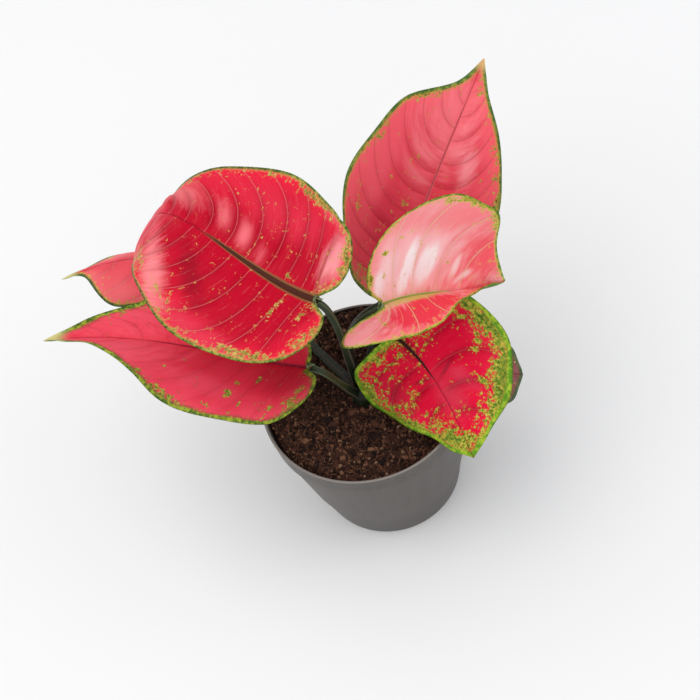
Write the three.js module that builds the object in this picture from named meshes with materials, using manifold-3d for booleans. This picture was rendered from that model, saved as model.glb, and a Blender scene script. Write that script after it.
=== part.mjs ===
// A Chinese evergreen (red Aglaonema) in a round nursery pot.
// Millimetres, +Z up, origin at the centre of the pot's underside. Most of the leaves spread towards
// -X and +Y, and the tallest one arches over to the back left.
import * as THREE from 'three';
import { mergeVertices } from 'three/addons/utils/BufferGeometryUtils.js';
import Module from 'manifold-3d';

const wasm = await Module();
wasm.setup();

// ---------------------------------------------------------------- driving dimensions (mm, degrees)

const POT = {
  height: 98,
  rimRadius: 60,
  bandHeight: 15,        // stiffened band under the rim
  bandStep: 1.0,         // the wall under the band sets in by this much
  footHeight: 31,        // lower zone that fits inside the pot below when pots are stacked
  footTopRadius: 48.8,
  footStep: 0.7,
  baseRadius: 43,
  wall: 1.6,
  floor: 2.4,
  drainHoles: 8,
  drainRadius: 3.5,
  drainCircle: 35,
  segments: 60,
};

const SOIL = {
  frontLevel: 88,        // height of the surface near the front wall
  backLevel: 97.5,       // it is heaped up behind the plant
  crumb: 1.3,            // height of the lumps
  rings: 13,
  sectors: 48,
};

const CROWN = {
  x: 0,
  y: -1,
  radius: 7.5,
  foot: 62,              // the stem reaches down into the soil
  top: 105,
};

const GAP = 0.3;         // clearance between pieces that touch

const BLADE = {
  thickness: 0.8,
  ridge: 2.6,            // how far the midrib stands out underneath, at the petiole
  quilt: 1.3,            // height of the blade's swell between two side veins
  minorSwell: 0.22,      // the weaker swell at the minor vein midway, as a share of the quilt
  puckerRise: 0.6,       // the two powers that let a swell rise beside the midrib
  puckerFall: 1.3,       // and die away towards the margin
  quiltEnds: 0.35,       // the swell's share left at the base and near the tip
  uneven: 0.4,           // how much one swell differs from the next
  unevenTurn: 2.1,       // radians of that change a vein
  startHalfWidth: 2.2,   // the blade starts this wide on either side of the midrib
  veinCrowd: 0.80,       // exponent: how the side veins crowd towards the base
  veinSweep: 0.42,       // exponent: where they meet the margin
  veinOut: 0.80,         // how far out they bend, as a share of the way to the margin
  veinLean: 0.8,         // how far they bend back near the base and ahead near the tip
  veinUpright: 0.6,      // the share of the length where they stand square to the midrib
  firstLean: 0.3,        // the first ones bend ahead instead, round the notch at the petiole,
  firstReach: 0.02,      // and this fades over this share of the length
  stagger: 0.5,          // the right half's veins leave midway between the left half's
};
const PUCKER_AT = BLADE.puckerRise / (BLADE.puckerRise + BLADE.puckerFall);
const PUCKER_TOP = PUCKER_AT ** BLADE.puckerRise * (1 - PUCKER_AT) ** BLADE.puckerFall;

const PETIOLE = {
  footRadius: 3.2,
  topRadius: 1.9,
  back: 12,              // its last handle lies this far behind the blade's start
  down: 4,               // and this far below it, so it turns into the midrib from below
  room: 0.52,            // its end stops this far short of the blade, whose lobes fold back past it
  sides: 8,
  steps: 14,
};

// One entry a leaf. base and tip are the ends of the midrib. faces is the azimuth and elevation that
// the upper side looks to (azimuth 0 is -Y, 90 is +X). rise and sway bow the midrib, at one and two
// thirds of the way, towards the upper side and towards the left. Pairs are [left, right] seen from
// above with the tip ahead. fold is the angle of each half against the midrib's cross direction at
// the base, foldTip the same at the tip, and curl adds to it from the midrib to the margin. width is
// the half width, lobe how far the blade reaches back past the petiole, belly where it is widest,
// and taper and neck are its width at 72% and 87% of the length. swell multiplies the quilt. foot is
// where the petiole starts in the crown, and leave its handle there.
const LEAVES = {
  front_left: {
    base: [-6, -14, 214], tip: [-90, 106, 156], faces: [17, 73],
    rise: [8, 74], sway: [5, -21], twist: 3,
    width: [54, 52], lobe: [17, 14],
    belly: [0.36, 0.33], taper: [0.59, 0.38], neck: [0.4, 0.33],
    fold: [23, 24], foldTip: [-10, -11], curl: [-31, 2],
    veins: 12, wave: 1.2, waves: 2.5, swell: [0.6, 1.7],
    foot: [-1, 0, 101], leave: [-2, 9, 26],
    colour: 0xc8193f,
  },
  low_left: {
    base: [-22, -18, 165], tip: [-165, 80, 140], faces: [15, 70],
    rise: [-29, -16], sway: [-7, -20], twist: -40,
    width: [49, 37], lobe: [22, 6],
    belly: [0.45, 0.37], taper: [0.55, 0.54], neck: [0.35, 0.26],
    fold: [37, 45], foldTip: [37, 45], curl: [-40, -15],
    veins: 9, wave: 1.2, waves: 3, swell: [0.6, 0.6],
    foot: [-3, -2, 99], leave: [-8, -3, 16],
    colour: 0xcf4462,
  },
  back_left: {
    base: [-36, 70, 126], tip: [-147, 124, 134], faces: [85, 68],
    rise: [34, 22], sway: [-5, -4], twist: 0,
    width: [32, 20], lobe: [7, 6],
    belly: [0.33, 0.33], taper: [0.87, 0.6], neck: [0.14, 0.22],
    fold: [5, -12], foldTip: [5, -12], curl: [-70, -60],
    veins: 8, wave: 0.8, waves: 2, swell: [0.6, 0.6],
    foot: [-2, 2, 98], leave: [-9, 10, 12],
    colour: 0xc65668,
  },
  upright: {
    base: [33, 26, 138], tip: [129, 121, 194], faces: [18, 45],
    rise: [-12, 11], sway: [0, 4], twist: 38,
    width: [60, 42], lobe: [8, 4],
    belly: [0.37, 0.44], taper: [0.6, 0.62], neck: [0.15, 0.24],
    fold: [34, 10], foldTip: [34, 10], curl: [10, -24],
    veins: 12, wave: 0.8, waves: 3, swell: [0.8, 0.7],
    foot: [3, 2, 99], leave: [5, 6, 18],
    colour: 0xd2476a,
  },
  front_right: {
    base: [24, -4, 177], tip: [96, 12, 136], faces: [1, 53],
    rise: [-2, 5], sway: [6, -4], twist: 0,
    width: [64, 34], lobe: [12, 40],
    belly: [0.38, 0.24], taper: [0.78, 0.22], neck: [0.25, 0.1],
    fold: [36, 52], foldTip: [36, 97], curl: [10, 3],
    veins: 6, wave: 1.2, waves: 2.5, swell: [1, 0.6],
    foot: [1, 3, 101], leave: [-7, 18, 27],
    colour: 0xe98a92,
  },
  drooping: {
    base: [26, -2, 144], tip: [45, -65, 95], faces: [0, 55],
    rise: [-4, 13], sway: [10, 4], twist: -8,
    width: [47, 45], lobe: [12, 3],
    belly: [0.42, 0.3], taper: [0.67, 0.5], neck: [0.28, 0.28],
    fold: [-3, -13], foldTip: [-3, -13], curl: [2, -38],
    veins: 7, wave: 1.2, waves: 2.5, swell: [0.9, 0.9],
    foot: [4, -3, 99], leave: [4, 3, 18],
    colour: 0xb81636,
  },
  low_right: {
    base: [39, -14, 115], tip: [89, -23, 92], faces: [20, 60],
    rise: [4, 6], sway: [0, 0], twist: 0,
    width: [21, 21], lobe: [8, 8],
    belly: [0.4, 0.4], taper: [0.88, 0.9], neck: [0.66, 0.7],
    fold: [8, 8], foldTip: [8, 8], curl: [-10, -10],
    veins: 6, wave: 0.8, waves: 2, swell: [0.8, 0.8],
    foot: [3, -4, 95], leave: [8, -3, 9],
    colour: 0x8f3b48,
  },
};

const WAVE_PHASE = 0.2;

// ---------------------------------------------------------------- helpers

const rad = THREE.MathUtils.degToRad;
const clamp = THREE.MathUtils.clamp;
const lerp = THREE.MathUtils.lerp;
const vec = (p) => new THREE.Vector3(...p);

function material(name, colour, roughness) {
  return new THREE.MeshStandardMaterial({ name, color: colour, roughness, metalness: 0 });
}

function mesh(name, geometry, mat) {
  const m = new THREE.Mesh(geometry, mat);
  m.name = name;
  return m;
}

function geometryOf(vertices, indices) {
  const g = new THREE.BufferGeometry();
  g.setAttribute('position', new THREE.Float32BufferAttribute(vertices, 3));
  g.setIndex(indices);
  return g;
}

// A closed geometry becomes a solid for cutting, and comes back as a geometry.
function solid(geometry) {
  const bare = geometry.clone();
  bare.deleteAttribute('normal');
  bare.deleteAttribute('uv');
  const merged = mergeVertices(bare, 1e-4);
  const vertProperties = new Float32Array(merged.attributes.position.array);
  const triVerts = new Uint32Array(merged.index.array);
  return new wasm.Manifold(new wasm.Mesh({ numProp: 3, vertProperties, triVerts }));
}

function geometryFrom(manifold) {
  const out = manifold.getMesh();
  return geometryOf(Array.from(out.vertProperties), Array.from(out.triVerts));
}

// A lathe about the Z axis from a profile of [radius, height] that starts and ends on the axis.
function lathe(profile, segments) {
  const g = new THREE.LatheGeometry(profile.map(([r, z]) => new THREE.Vector2(r, z)), segments);
  g.rotateX(Math.PI / 2);
  return g;
}

// ---------------------------------------------------------------- pot

function potGeometry() {
  const { height, rimRadius, wall, floor, baseRadius, footHeight, footTopRadius, footStep } = POT;
  const bandFoot = height - POT.bandHeight;
  const wallTop = rimRadius - 1 - POT.bandStep;
  const wallFoot = footTopRadius + footStep;
  const inner = (r) => r - wall;
  const profile = [
    [0, 0],
    [baseRadius - 1.5, 0],
    [baseRadius - 0.4, 0.5],
    [baseRadius, 1.6],
    [footTopRadius, footHeight],
    [wallFoot, footHeight + 0.8],
    [wallTop, bandFoot],
    [rimRadius - 1, bandFoot + 0.8],
    [rimRadius - 0.2, height - 1.6],
    [rimRadius, height - 0.9],
    [rimRadius - 0.4, height - 0.1],
    [rimRadius - 1.0, height],
    [rimRadius - 1.7, height - 0.7],
    [inner(rimRadius - 0.4), height - 2],
    [inner(wallTop), bandFoot],
    [inner(wallFoot), footHeight + 0.8],
    [inner(baseRadius + 0.3), floor],
    [0, floor],
  ];
  let pot = solid(lathe(profile, POT.segments));
  const hole = new THREE.CylinderGeometry(POT.drainRadius, POT.drainRadius, floor + 4, 12);
  hole.rotateX(Math.PI / 2);
  for (let i = 0; i < POT.drainHoles; i += 1) {
    const a = (i / POT.drainHoles) * 2 * Math.PI;
    const drill = hole.clone();
    drill.translate(POT.drainCircle * Math.cos(a), POT.drainCircle * Math.sin(a), floor / 2);
    pot = pot.subtract(solid(drill));
  }
  return geometryFrom(pot);
}

// Inner radius of the pot's wall at height z.
function potInside(z) {
  const bandFoot = POT.height - POT.bandHeight;
  const wallTop = POT.rimRadius - 1 - POT.bandStep;
  const wallFoot = POT.footTopRadius + POT.footStep;
  const stations = [
    [POT.floor, POT.baseRadius + 0.3],
    [POT.footHeight + 0.8, wallFoot],
    [bandFoot, wallTop],
    [POT.height - 2, POT.rimRadius - 0.4],
  ];
  let k = 0;
  while (k < stations.length - 2 && z > stations[k + 1][0]) k += 1;
  const [z0, r0] = stations[k];
  const [z1, r1] = stations[k + 1];
  return lerp(r0, r1, clamp((z - z0) / (z1 - z0), 0, 1)) - POT.wall;
}

// ---------------------------------------------------------------- soil

// Smooth lumps from a few crossed waves, so that the surface has no repeat.
function lumps(x, y) {
  return 0.5 * Math.sin(0.43 * x + 0.9 * Math.sin(0.21 * y))
    + 0.5 * Math.sin(0.39 * y + 1.1 * Math.sin(0.17 * x + 1))
    + 0.4 * Math.sin(0.83 * x - 0.57 * y);
}

function soilLevel(x, y) {
  const back = clamp((y + 55) / 110, 0, 1);
  const heap = back * back * (3 - 2 * back);
  const mound = 1.8 * Math.exp(-(x * x + y * y) / 400);
  return lerp(SOIL.frontLevel, SOIL.backLevel, heap) + mound + SOIL.crumb * lumps(x, y);
}

function soilGeometry() {
  const { rings, sectors } = SOIL;
  const floor = POT.floor + GAP;
  const vertices = [];
  const indices = [];
  const point = (r, a, z) => {
    vertices.push(r * Math.cos(a), r * Math.sin(a), z);
    return vertices.length / 3 - 1;
  };
  const loops = [];
  const loop = (radiusAt, levelAt) => {
    const ids = [];
    for (let j = 0; j < sectors; j += 1) {
      const a = (j / sectors) * 2 * Math.PI;
      const z = levelAt(a);
      ids.push(point(radiusAt(z), a, z));
    }
    loops.push(ids);
  };
  const edge = (z) => potInside(z) - GAP - 0.15;
  loop(edge, () => floor);
  loop(edge, () => POT.footHeight + 0.8);
  loop(edge, () => POT.height - POT.bandHeight);
  for (let i = rings; i > 0; i -= 1) {
    const r = (i / rings) * (edge(SOIL.frontLevel) - 0.2);
    loop(() => r, (a) => soilLevel(r * Math.cos(a), r * Math.sin(a)));
  }
  const bottom = point(0, 0, floor);
  const top = point(0, 0, soilLevel(0, 0));
  for (let k = 0; k + 1 < loops.length; k += 1) {
    for (let j = 0; j < sectors; j += 1) {
      const n = (j + 1) % sectors;
      const [a, b, c, d] = [loops[k][j], loops[k][n], loops[k + 1][n], loops[k + 1][j]];
      indices.push(a, b, c, a, c, d);
    }
  }
  const last = loops[loops.length - 1];
  for (let j = 0; j < sectors; j += 1) {
    const n = (j + 1) % sectors;
    indices.push(bottom, loops[0][n], loops[0][j]);
    indices.push(top, last[j], last[n]);
  }
  return geometryOf(vertices, indices);
}

// ---------------------------------------------------------------- crown

// The short stem that carries all the petioles; grow widens it for cutting clearances.
function crownGeometry(grow) {
  const r = CROWN.radius + grow;
  const { foot, top } = CROWN;
  const g = lathe([
    [0, foot - grow],
    [r - 1.5, foot - grow],
    [r, foot + 6],
    [r + 0.3, top - 12],
    [r - 0.5, top - 5],
    [r - 2.5, top - 1.5 + grow],
    [r - 4.5, top + grow],
    [0, top + 0.6 + grow],
  ], 20);
  g.translate(CROWN.x, CROWN.y, 0);
  return g;
}

// ---------------------------------------------------------------- leaves

// The midrib with a frame that travels along it: t ahead, n towards the upper side, b to the left.
class Midrib {
  constructor(leaf) {
    const base = vec(leaf.base);
    const tip = vec(leaf.tip);
    const [azimuth, elevation] = leaf.faces.map(rad);
    const up = new THREE.Vector3(
      Math.sin(azimuth) * Math.cos(elevation),
      -Math.cos(azimuth) * Math.cos(elevation),
      Math.sin(elevation),
    );
    const chord = tip.clone().sub(base);
    const ahead = chord.clone().normalize();
    up.addScaledVector(ahead, -up.dot(ahead)).normalize();
    const left = up.clone().cross(ahead);
    const handle = (i) => base.clone()
      .addScaledVector(chord, (i + 1) / 3)
      .addScaledVector(up, leaf.rise[i])
      .addScaledVector(left, leaf.sway[i]);
    this.curve = new THREE.CubicBezierCurve3(base, handle(0), handle(1), tip);
    this.steps = 120;
    this.points = this.curve.getSpacedPoints(this.steps);
    this.length = this.curve.getLength();
    this.frames = this.carry(up, rad(leaf.twist));
  }

  carry(up, twist) {
    const frames = [];
    const n = up.clone();
    for (let i = 0; i <= this.steps; i += 1) {
      const t = this.curve.getTangentAt(i / this.steps);
      n.addScaledVector(t, -n.dot(t)).normalize();
      const b = n.clone().cross(t);
      const w = (twist * i) / this.steps;
      const turned = n.clone().multiplyScalar(Math.cos(w)).addScaledVector(b, Math.sin(w));
      frames.push({ t, n: turned, b: turned.clone().cross(t) });
    }
    return frames;
  }

  // Place at distance x along the midrib; before the base it runs straight on backwards.
  at(x) {
    const u = clamp(x / this.length, 0, 1) * this.steps;
    const i = Math.min(Math.floor(u), this.steps - 1);
    const f = u - i;
    const mix = (a, b) => a.clone().lerp(b, f);
    const [p, q] = [this.frames[i], this.frames[i + 1]];
    const t = mix(p.t, q.t);
    const point = mix(this.points[i], this.points[i + 1]).addScaledVector(t, Math.min(x, 0));
    return { point, t, n: mix(p.n, q.n), b: mix(p.b, q.b) };
  }
}

// The margin of one half, laid flat: x along the midrib, y outwards.
class Margin {
  constructor(length, width, lobe, belly, taper, neck) {
    const shoulder = belly + (0.72 - belly) * 0.55;
    const points = [
      [0, BLADE.startHalfWidth],
      [-0.75 * lobe, 0.20 * width],
      [-lobe, 0.46 * width],
      [-0.45 * lobe, 0.76 * width],
      [0.45 * belly * length, 0.955 * width],
      [belly * length, width],
      [shoulder * length, (0.55 + 0.45 * taper) * width],
      [0.72 * length, taper * width],
      [0.87 * length, neck * width],
      [length, 0],
    ];
    const curve = new THREE.CatmullRomCurve3(points.map(([x, y]) => vec([x, y, 0])));
    curve.arcLengthDivisions = 400;
    this.curve = curve;
  }

  at(s) {
    return this.curve.getPointAt(s);
  }
}

// A blade is swept vein by vein: s counts along the midrib, q from the midrib (0) to the margin (1).
class Blade {
  constructor(leaf) {
    this.leaf = leaf;
    this.midrib = new Midrib(leaf);
    this.margins = [0, 1].map((k) => new Margin(
      this.midrib.length, leaf.width[k], leaf.lobe[k], leaf.belly[k], leaf.taper[k], leaf.neck[k],
    ));
  }

  // The side vein s leaves the midrib, bends and runs on to the margin.
  flat(s, q, half) {
    const { veinSweep, veinLean, veinUpright, veinOut, firstLean, firstReach } = BLADE;
    const start = this.midrib.length * s;
    const end = this.margins[half].at(s ** veinSweep);
    const lean = veinLean * Math.sqrt(s) * (s - veinUpright) + firstLean * Math.exp(-s / firstReach);
    const bendX = start + lean * end.y;
    const bendY = veinOut * end.y;
    const a = (1 - q) ** 2;
    const b = 2 * q * (1 - q);
    return [a * start + b * bendX + q * q * end.x, b * bendY + q * q * end.y];
  }

  // The blade swells between two veins, most of all beside the midrib and half way along, and one
  // swell is stronger than the next. Its margin waves.
  relief(s, q, half) {
    const { veins, wave, waves, swell } = this.leaf;
    const count = veins * s ** BLADE.veinCrowd + BLADE.stagger * half;
    const turn = Math.PI * count;
    const between = Math.abs(Math.sin(turn)) ** 0.8 - 0.5;
    const minor = BLADE.minorSwell * (Math.abs(Math.sin(2 * turn)) - 0.5);
    const across = q ** BLADE.puckerRise * (1 - q) ** BLADE.puckerFall / PUCKER_TOP;
    const uneven = 1 + BLADE.uneven * Math.sin(BLADE.unevenTurn * count);
    const along = uneven * lerp(BLADE.quiltEnds, 1, Math.sin(Math.PI * s) ** 2) * clamp(3 * (1 - s), 0, 1);
    const edge = Math.sin(2 * Math.PI * (waves * s + WAVE_PHASE)) * q * q * clamp(6 * s * (1 - s), 0, 1);
    return BLADE.quilt * swell[half] * (between + minor) * across * along + wave * edge;
  }

  // half 0 is the left one, 1 the right one.
  point(s, q, half) {
    const side = half === 0 ? 1 : -1;
    const { fold, foldTip, curl, width } = this.leaf;
    const [x, y] = this.flat(s, q, half);
    const f = this.midrib.at(x);
    const u = clamp(x / this.midrib.length, 0, 1);
    const start = rad(lerp(fold[half], foldTip[half], u));
    const bend = rad(curl[half]) / width[half] + 1e-7;
    const end = start + bend * y;
    const out = (Math.sin(end) - Math.sin(start)) / bend;
    const rise = (Math.cos(start) - Math.cos(end)) / bend;
    const lift = this.relief(s, q, half);
    return f.point
      .addScaledVector(f.b, side * (out - lift * Math.sin(end)))
      .addScaledVector(f.n, rise + lift * Math.cos(end));
  }
}

// Columns are closer at the midrib.
const COLUMNS = [0, 0.07, 0.22, 0.4, 0.58, 0.76, 0.9, 1];

// Rows follow the veins and the crests between them, and a few more at the base round off the lobes.
const BASE_ROWS = [0, 0.02, 0.08, 0.2];

function rowsOf({ veins }) {
  const crests = Array.from({ length: 2 * veins }, (_, i) => (i + 1) / 2);
  return [...BASE_ROWS, ...crests].map((count) => (count / veins) ** (1 / BLADE.veinCrowd));
}

function bladeGeometry(blade) {
  const stations = rowsOf(blade.leaf);
  const rows = stations.length;
  const across = 2 * COLUMNS.length - 1;
  const mid = COLUMNS.length - 1;
  const upper = [];
  for (const s of stations) {
    for (let j = 0; j < across; j += 1) {
      const half = j < mid ? 1 : 0;
      upper.push(blade.point(s, COLUMNS[Math.abs(j - mid)], half));
    }
  }
  // All the columns meet in one point at the tip.
  const apex = (rows - 1) * across;
  const id = (i, j) => (i === rows - 1 ? apex : i * across + j);
  const faces = [];
  for (let i = 0; i + 1 < rows; i += 1) {
    for (let j = 0; j + 1 < across; j += 1) {
      const [a, b, c, d] = [id(i, j), id(i, j + 1), id(i + 1, j + 1), id(i + 1, j)];
      if (j < mid) {
        faces.push([a, c, b], [a, d, c]);
      } else {
        faces.push([a, d, b], [b, d, c]);
      }
    }
  }
  const top = faces.filter(([a, b, c]) => a !== b && b !== c && a !== c);

  // The underside lies one thickness below, further at the midrib, along the averaged normals.
  const normals = upper.map(() => new THREE.Vector3());
  for (const [a, b, c] of top) {
    const n = upper[b].clone().sub(upper[a]).cross(upper[c].clone().sub(upper[a]));
    for (const k of [a, b, c]) normals[k].add(n);
  }
  const lower = upper.map((p, k) => {
    const s = stations[Math.floor(k / across)];
    const ridge = k % across === mid ? BLADE.ridge * (1 - s) ** 0.8 : 0;
    return p.clone().addScaledVector(normals[k].normalize(), -BLADE.thickness - ridge);
  });

  const vertices = [...upper, ...lower].flatMap((p) => p.toArray());
  const under = upper.length;
  const indices = top.flatMap(([a, b, c]) => [a, b, c, under + a, under + c, under + b]);
  const rim = [];
  for (let j = 0; j < across; j += 1) rim.push(id(0, j));
  for (let i = 1; i < rows; i += 1) rim.push(id(i, across - 1));
  for (let i = rows - 2; i > 0; i -= 1) rim.push(id(i, 0));
  rim.forEach((a, k) => {
    const b = rim[(k + 1) % rim.length];
    indices.push(a, b, under + b, a, under + b, under + a);
  });
  return mergeVertices(geometryOf(vertices, indices), 1e-5);
}

// The petiole rises from the crown and bends into the midrib, ending just short of the blade.
function petioleCurve({ leaf, midrib }) {
  const { topRadius, back, down, room } = PETIOLE;
  const { point, t, n } = midrib.at(0);
  const short = room + (topRadius * down) / Math.hypot(back, down);
  const depth = (BLADE.thickness + BLADE.ridge) / 2;
  const end = point.clone().addScaledVector(t, -short).addScaledVector(n, -depth);
  const foot = vec(leaf.foot);
  return new THREE.CubicBezierCurve3(
    foot,
    foot.clone().add(vec(leaf.leave)),
    end.clone().addScaledVector(t, -back).addScaledVector(n, -down),
    end,
  );
}

function petioleGeometry(blade, grow) {
  const { footRadius, topRadius, sides, steps } = PETIOLE;
  const curve = petioleCurve(blade);
  const vertices = [];
  const indices = [];
  let n = new THREE.Vector3(0.3, 1, 0.1);
  for (let i = 0; i <= steps; i += 1) {
    const u = i / steps;
    const t = curve.getTangentAt(u);
    n = n.addScaledVector(t, -n.dot(t)).normalize();
    const b = t.clone().cross(n);
    const r = lerp(footRadius, topRadius, Math.min(1, 1.6 * u) ** 0.7) + grow;
    const beyond = { 0: -grow, [steps]: grow }[i] ?? 0;
    const centre = curve.getPointAt(u).addScaledVector(t, beyond);
    for (let j = 0; j < sides; j += 1) {
      const a = (j / sides) * 2 * Math.PI;
      const p = centre.clone().addScaledVector(n, r * Math.cos(a)).addScaledVector(b, r * Math.sin(a));
      vertices.push(...p.toArray());
    }
  }
  for (let i = 0; i < steps; i += 1) {
    for (let j = 0; j < sides; j += 1) {
      const k = (j + 1) % sides;
      const [a, b] = [i * sides + j, i * sides + k];
      const [c, d] = [b + sides, a + sides];
      indices.push(a, b, c, a, c, d);
    }
  }
  const lastRing = steps * sides;
  for (let j = 1; j + 1 < sides; j += 1) {
    indices.push(0, j + 1, j);
    indices.push(lastRing, lastRing + j, lastRing + j + 1);
  }
  return geometryOf(vertices, indices);
}

// ---------------------------------------------------------------- the plant

// The largest piece of a cut solid; the cuts at the crown may leave slivers behind.
function largest(manifold) {
  const parts = manifold.decompose();
  return parts.reduce((a, b) => (a.volume() > b.volume() ? a : b));
}

const plant = new THREE.Group();
const stalk = () => material('petiole_green', 0x2f4a2c, 0.5);
const leafStalks = [];
const leafBlades = [];
let taken = solid(crownGeometry(GAP));
for (const [name, leaf] of Object.entries(LEAVES)) {
  const blade = new Blade(leaf);
  const petiole = largest(solid(petioleGeometry(blade, 0)).subtract(taken));
  taken = taken.add(solid(petioleGeometry(blade, GAP)));
  leafStalks.push(mesh(`petiole_${name}`, geometryFrom(petiole), stalk()));
  leafBlades.push(mesh(`blade_${name}`, bladeGeometry(blade), material(`leaf_${name}`, leaf.colour, 0.4)));
}
const soil = largest(solid(soilGeometry()).subtract(taken));

plant.add(mesh('pot', potGeometry(), material('grey_plastic', 0x3d3a39, 0.45)));
plant.add(mesh('soil', geometryFrom(soil), material('potting_soil', 0x2b1a14, 0.95)));
plant.add(mesh('crown', crownGeometry(0), stalk()));
plant.add(...leafStalks, ...leafBlades);

export default plant;
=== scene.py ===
# %% [markdown]
# A Chinese evergreen in its nursery pot
#
# The plant is a young red Aglaonema: seven heart-shaped leaves on short green petioles, standing in
# dark potting soil in a round grey plastic pot. The CAD model of it is loaded first and stays as it
# is. Every finer piece that is made below stands in the place of a CAD node, in metres, in the same
# frame, with the middle of the pot's underside at the origin and +Z up.

# %% Load the frame
import math

import bpy
import numpy as np
from mathutils import Matrix


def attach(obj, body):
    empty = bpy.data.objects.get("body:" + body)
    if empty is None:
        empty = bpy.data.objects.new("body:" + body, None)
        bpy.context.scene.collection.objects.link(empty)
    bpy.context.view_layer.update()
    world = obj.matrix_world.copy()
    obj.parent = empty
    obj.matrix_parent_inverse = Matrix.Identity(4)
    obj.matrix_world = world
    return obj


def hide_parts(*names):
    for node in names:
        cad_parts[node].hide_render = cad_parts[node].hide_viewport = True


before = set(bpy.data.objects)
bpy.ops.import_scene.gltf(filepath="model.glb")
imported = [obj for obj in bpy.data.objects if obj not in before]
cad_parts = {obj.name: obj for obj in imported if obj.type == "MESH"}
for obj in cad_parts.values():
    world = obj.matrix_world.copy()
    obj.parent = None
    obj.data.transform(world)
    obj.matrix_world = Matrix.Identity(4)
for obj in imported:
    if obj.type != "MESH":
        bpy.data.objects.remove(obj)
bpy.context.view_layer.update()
MM = 0.001

# %% [markdown]
# The view
#
# The photograph looks steeply down on the plant with a long lens, and the camera is also rolled, so
# that the pot leans to the left in the picture. The view is fixed by the middle of the pot's rim: the
# camera is placed so far back that the rim has its size in the picture, and then shifted sideways, by
# moving it and not by turning it, until the rim's middle falls on its pixel.

# %% The view's numbers
PIXELS = 700
LENS = 85.0
SENSOR = 36.0
LOOK_DOWN = math.radians(55.9)
ROLL = math.radians(-19.9)
RIM_PIXEL = (362.7, 390.25)
RIM_CENTRE = np.array([0.0, 0.0, 98.0])
DISTANCE = 949.0

back = np.array([0.0, -math.cos(LOOK_DOWN), math.sin(LOOK_DOWN)])
level = np.array([1.0, 0.0, 0.0])
above = np.cross(back, level)
right = math.cos(ROLL) * level + math.sin(ROLL) * above
upward = math.cos(ROLL) * above - math.sin(ROLL) * level

mm_per_pixel = DISTANCE * SENSOR / LENS / PIXELS
sideways = (RIM_PIXEL[0] - PIXELS / 2) * mm_per_pixel
downwards = (RIM_PIXEL[1] - PIXELS / 2) * mm_per_pixel
eye = RIM_CENTRE + DISTANCE * back - sideways * right + downwards * upward
print("eye in mm:", np.round(eye, 1), "mm per pixel at the rim:", round(mm_per_pixel, 3))


# %% Place the camera
def unit(v):
    return np.asarray(v, float) / np.linalg.norm(v)


def facing(x, y, z, place):
    """The matrix that turns an object's own axes to x, y and z and puts it at a place in mm."""
    columns = [list(x), list(y), list(z), list(np.asarray(place) * MM)]
    return Matrix([[columns[c][r] for c in range(4)] for r in range(3)] + [[0, 0, 0, 1]])


def new_object(name, data):
    made = bpy.data.objects.new(name, data)
    bpy.context.scene.collection.objects.link(made)
    return made


camera = new_object("camera", bpy.data.cameras.new("camera"))
camera.data.lens = LENS
camera.data.sensor_width = SENSOR
camera.matrix_world = facing(right, upward, back, eye)
bpy.context.scene.camera = camera
print("camera lens:", LENS, "mm, looking down by", round(math.degrees(LOOK_DOWN), 1), "degrees")

# %% [markdown]
# Writing node trees as sums
#
# Shader trees and geometry trees are both made of nodes and links. One small class wraps an output
# socket and overloads the arithmetic operators, so that a mask can be written as an ordinary sum, also
# with the plain number first, as in 1 - mask. A second class holds a tree and makes any node in it:
# its settings come first, because they decide which sockets the node has, and then the values or links
# of its sockets.

# %% A socket that takes part in sums
def both_ways(operation):
    """Two methods, for the socket before the operator and after it, that each make a Math node."""
    return (lambda own, other: own.tree.maths(operation, own, other),
            lambda own, other: own.tree.maths(operation, other, own))


class Wire:
    def __init__(self, tree, socket):
        self.tree = tree
        self.socket = socket

    __add__, __radd__ = both_ways("ADD")
    __sub__, __rsub__ = both_ways("SUBTRACT")
    __mul__, __rmul__ = both_ways("MULTIPLY")
    __truediv__, __rtruediv__ = both_ways("DIVIDE")
    __pow__, __rpow__ = both_ways("POWER")

    def __neg__(self):
        return 0 - self

    def __abs__(self):
        return self.tree.maths("ABSOLUTE", self)


# %% A tree that makes any node
class Tree:
    def __init__(self, group):
        self.nodes = group.nodes
        self.links = group.links

    def node(self, kind, settings=None, sockets=None):
        made = self.nodes.new(kind)
        for key, value in (settings or {}).items():
            if key == "stops":
                self.set_stops(made.color_ramp, value)
            else:
                setattr(made, key, value)
        for key, value in (sockets or {}).items():
            self.feed(made.inputs[key], value)
        return made

    def out(self, kind, settings=None, sockets=None, output=0):
        return Wire(self, self.node(kind, settings, sockets).outputs[output])

    def feed(self, socket, value):
        if isinstance(value, Wire):
            self.links.new(value.socket, socket)
        else:
            socket.default_value = value

    def set_stops(self, ramp, stops):
        while len(ramp.elements) < len(stops):
            ramp.elements.new(0.5)
        for element, (place, colour) in zip(ramp.elements, stops):
            element.position = place
            element.color = colour

    def maths(self, operation, *values):
        return self.out("ShaderNodeMath", {"operation": operation}, dict(enumerate(values)))


# %% [markdown]
# Finishes
#
# A finish is a material built round one Principled shader. What is the same all over a surface, such
# as its specular level, is set on the shader's own socket. What changes over the surface is wired to
# the base colour, the roughness or the normal. Colours are written as the hex codes that one would
# pick in a paint program, and turned into linear light here. A surface is painted as on a bench: a
# first colour, and then one layer after another over it, each through its own mask. One class makes
# the masks, from places, stored numbers and noise, and a second one, built on it, does the painting.

# %% Colours
def linear(code):
    parts = [int(code[i:i + 2], 16) / 255 for i in (0, 2, 4)]
    return [p / 12.92 if p <= 0.04045 else ((p + 0.055) / 1.055) ** 2.4 for p in parts] + [1.0]


print("a mid grey of 808080 is", round(linear("808080")[0], 3), "in linear light")


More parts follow.
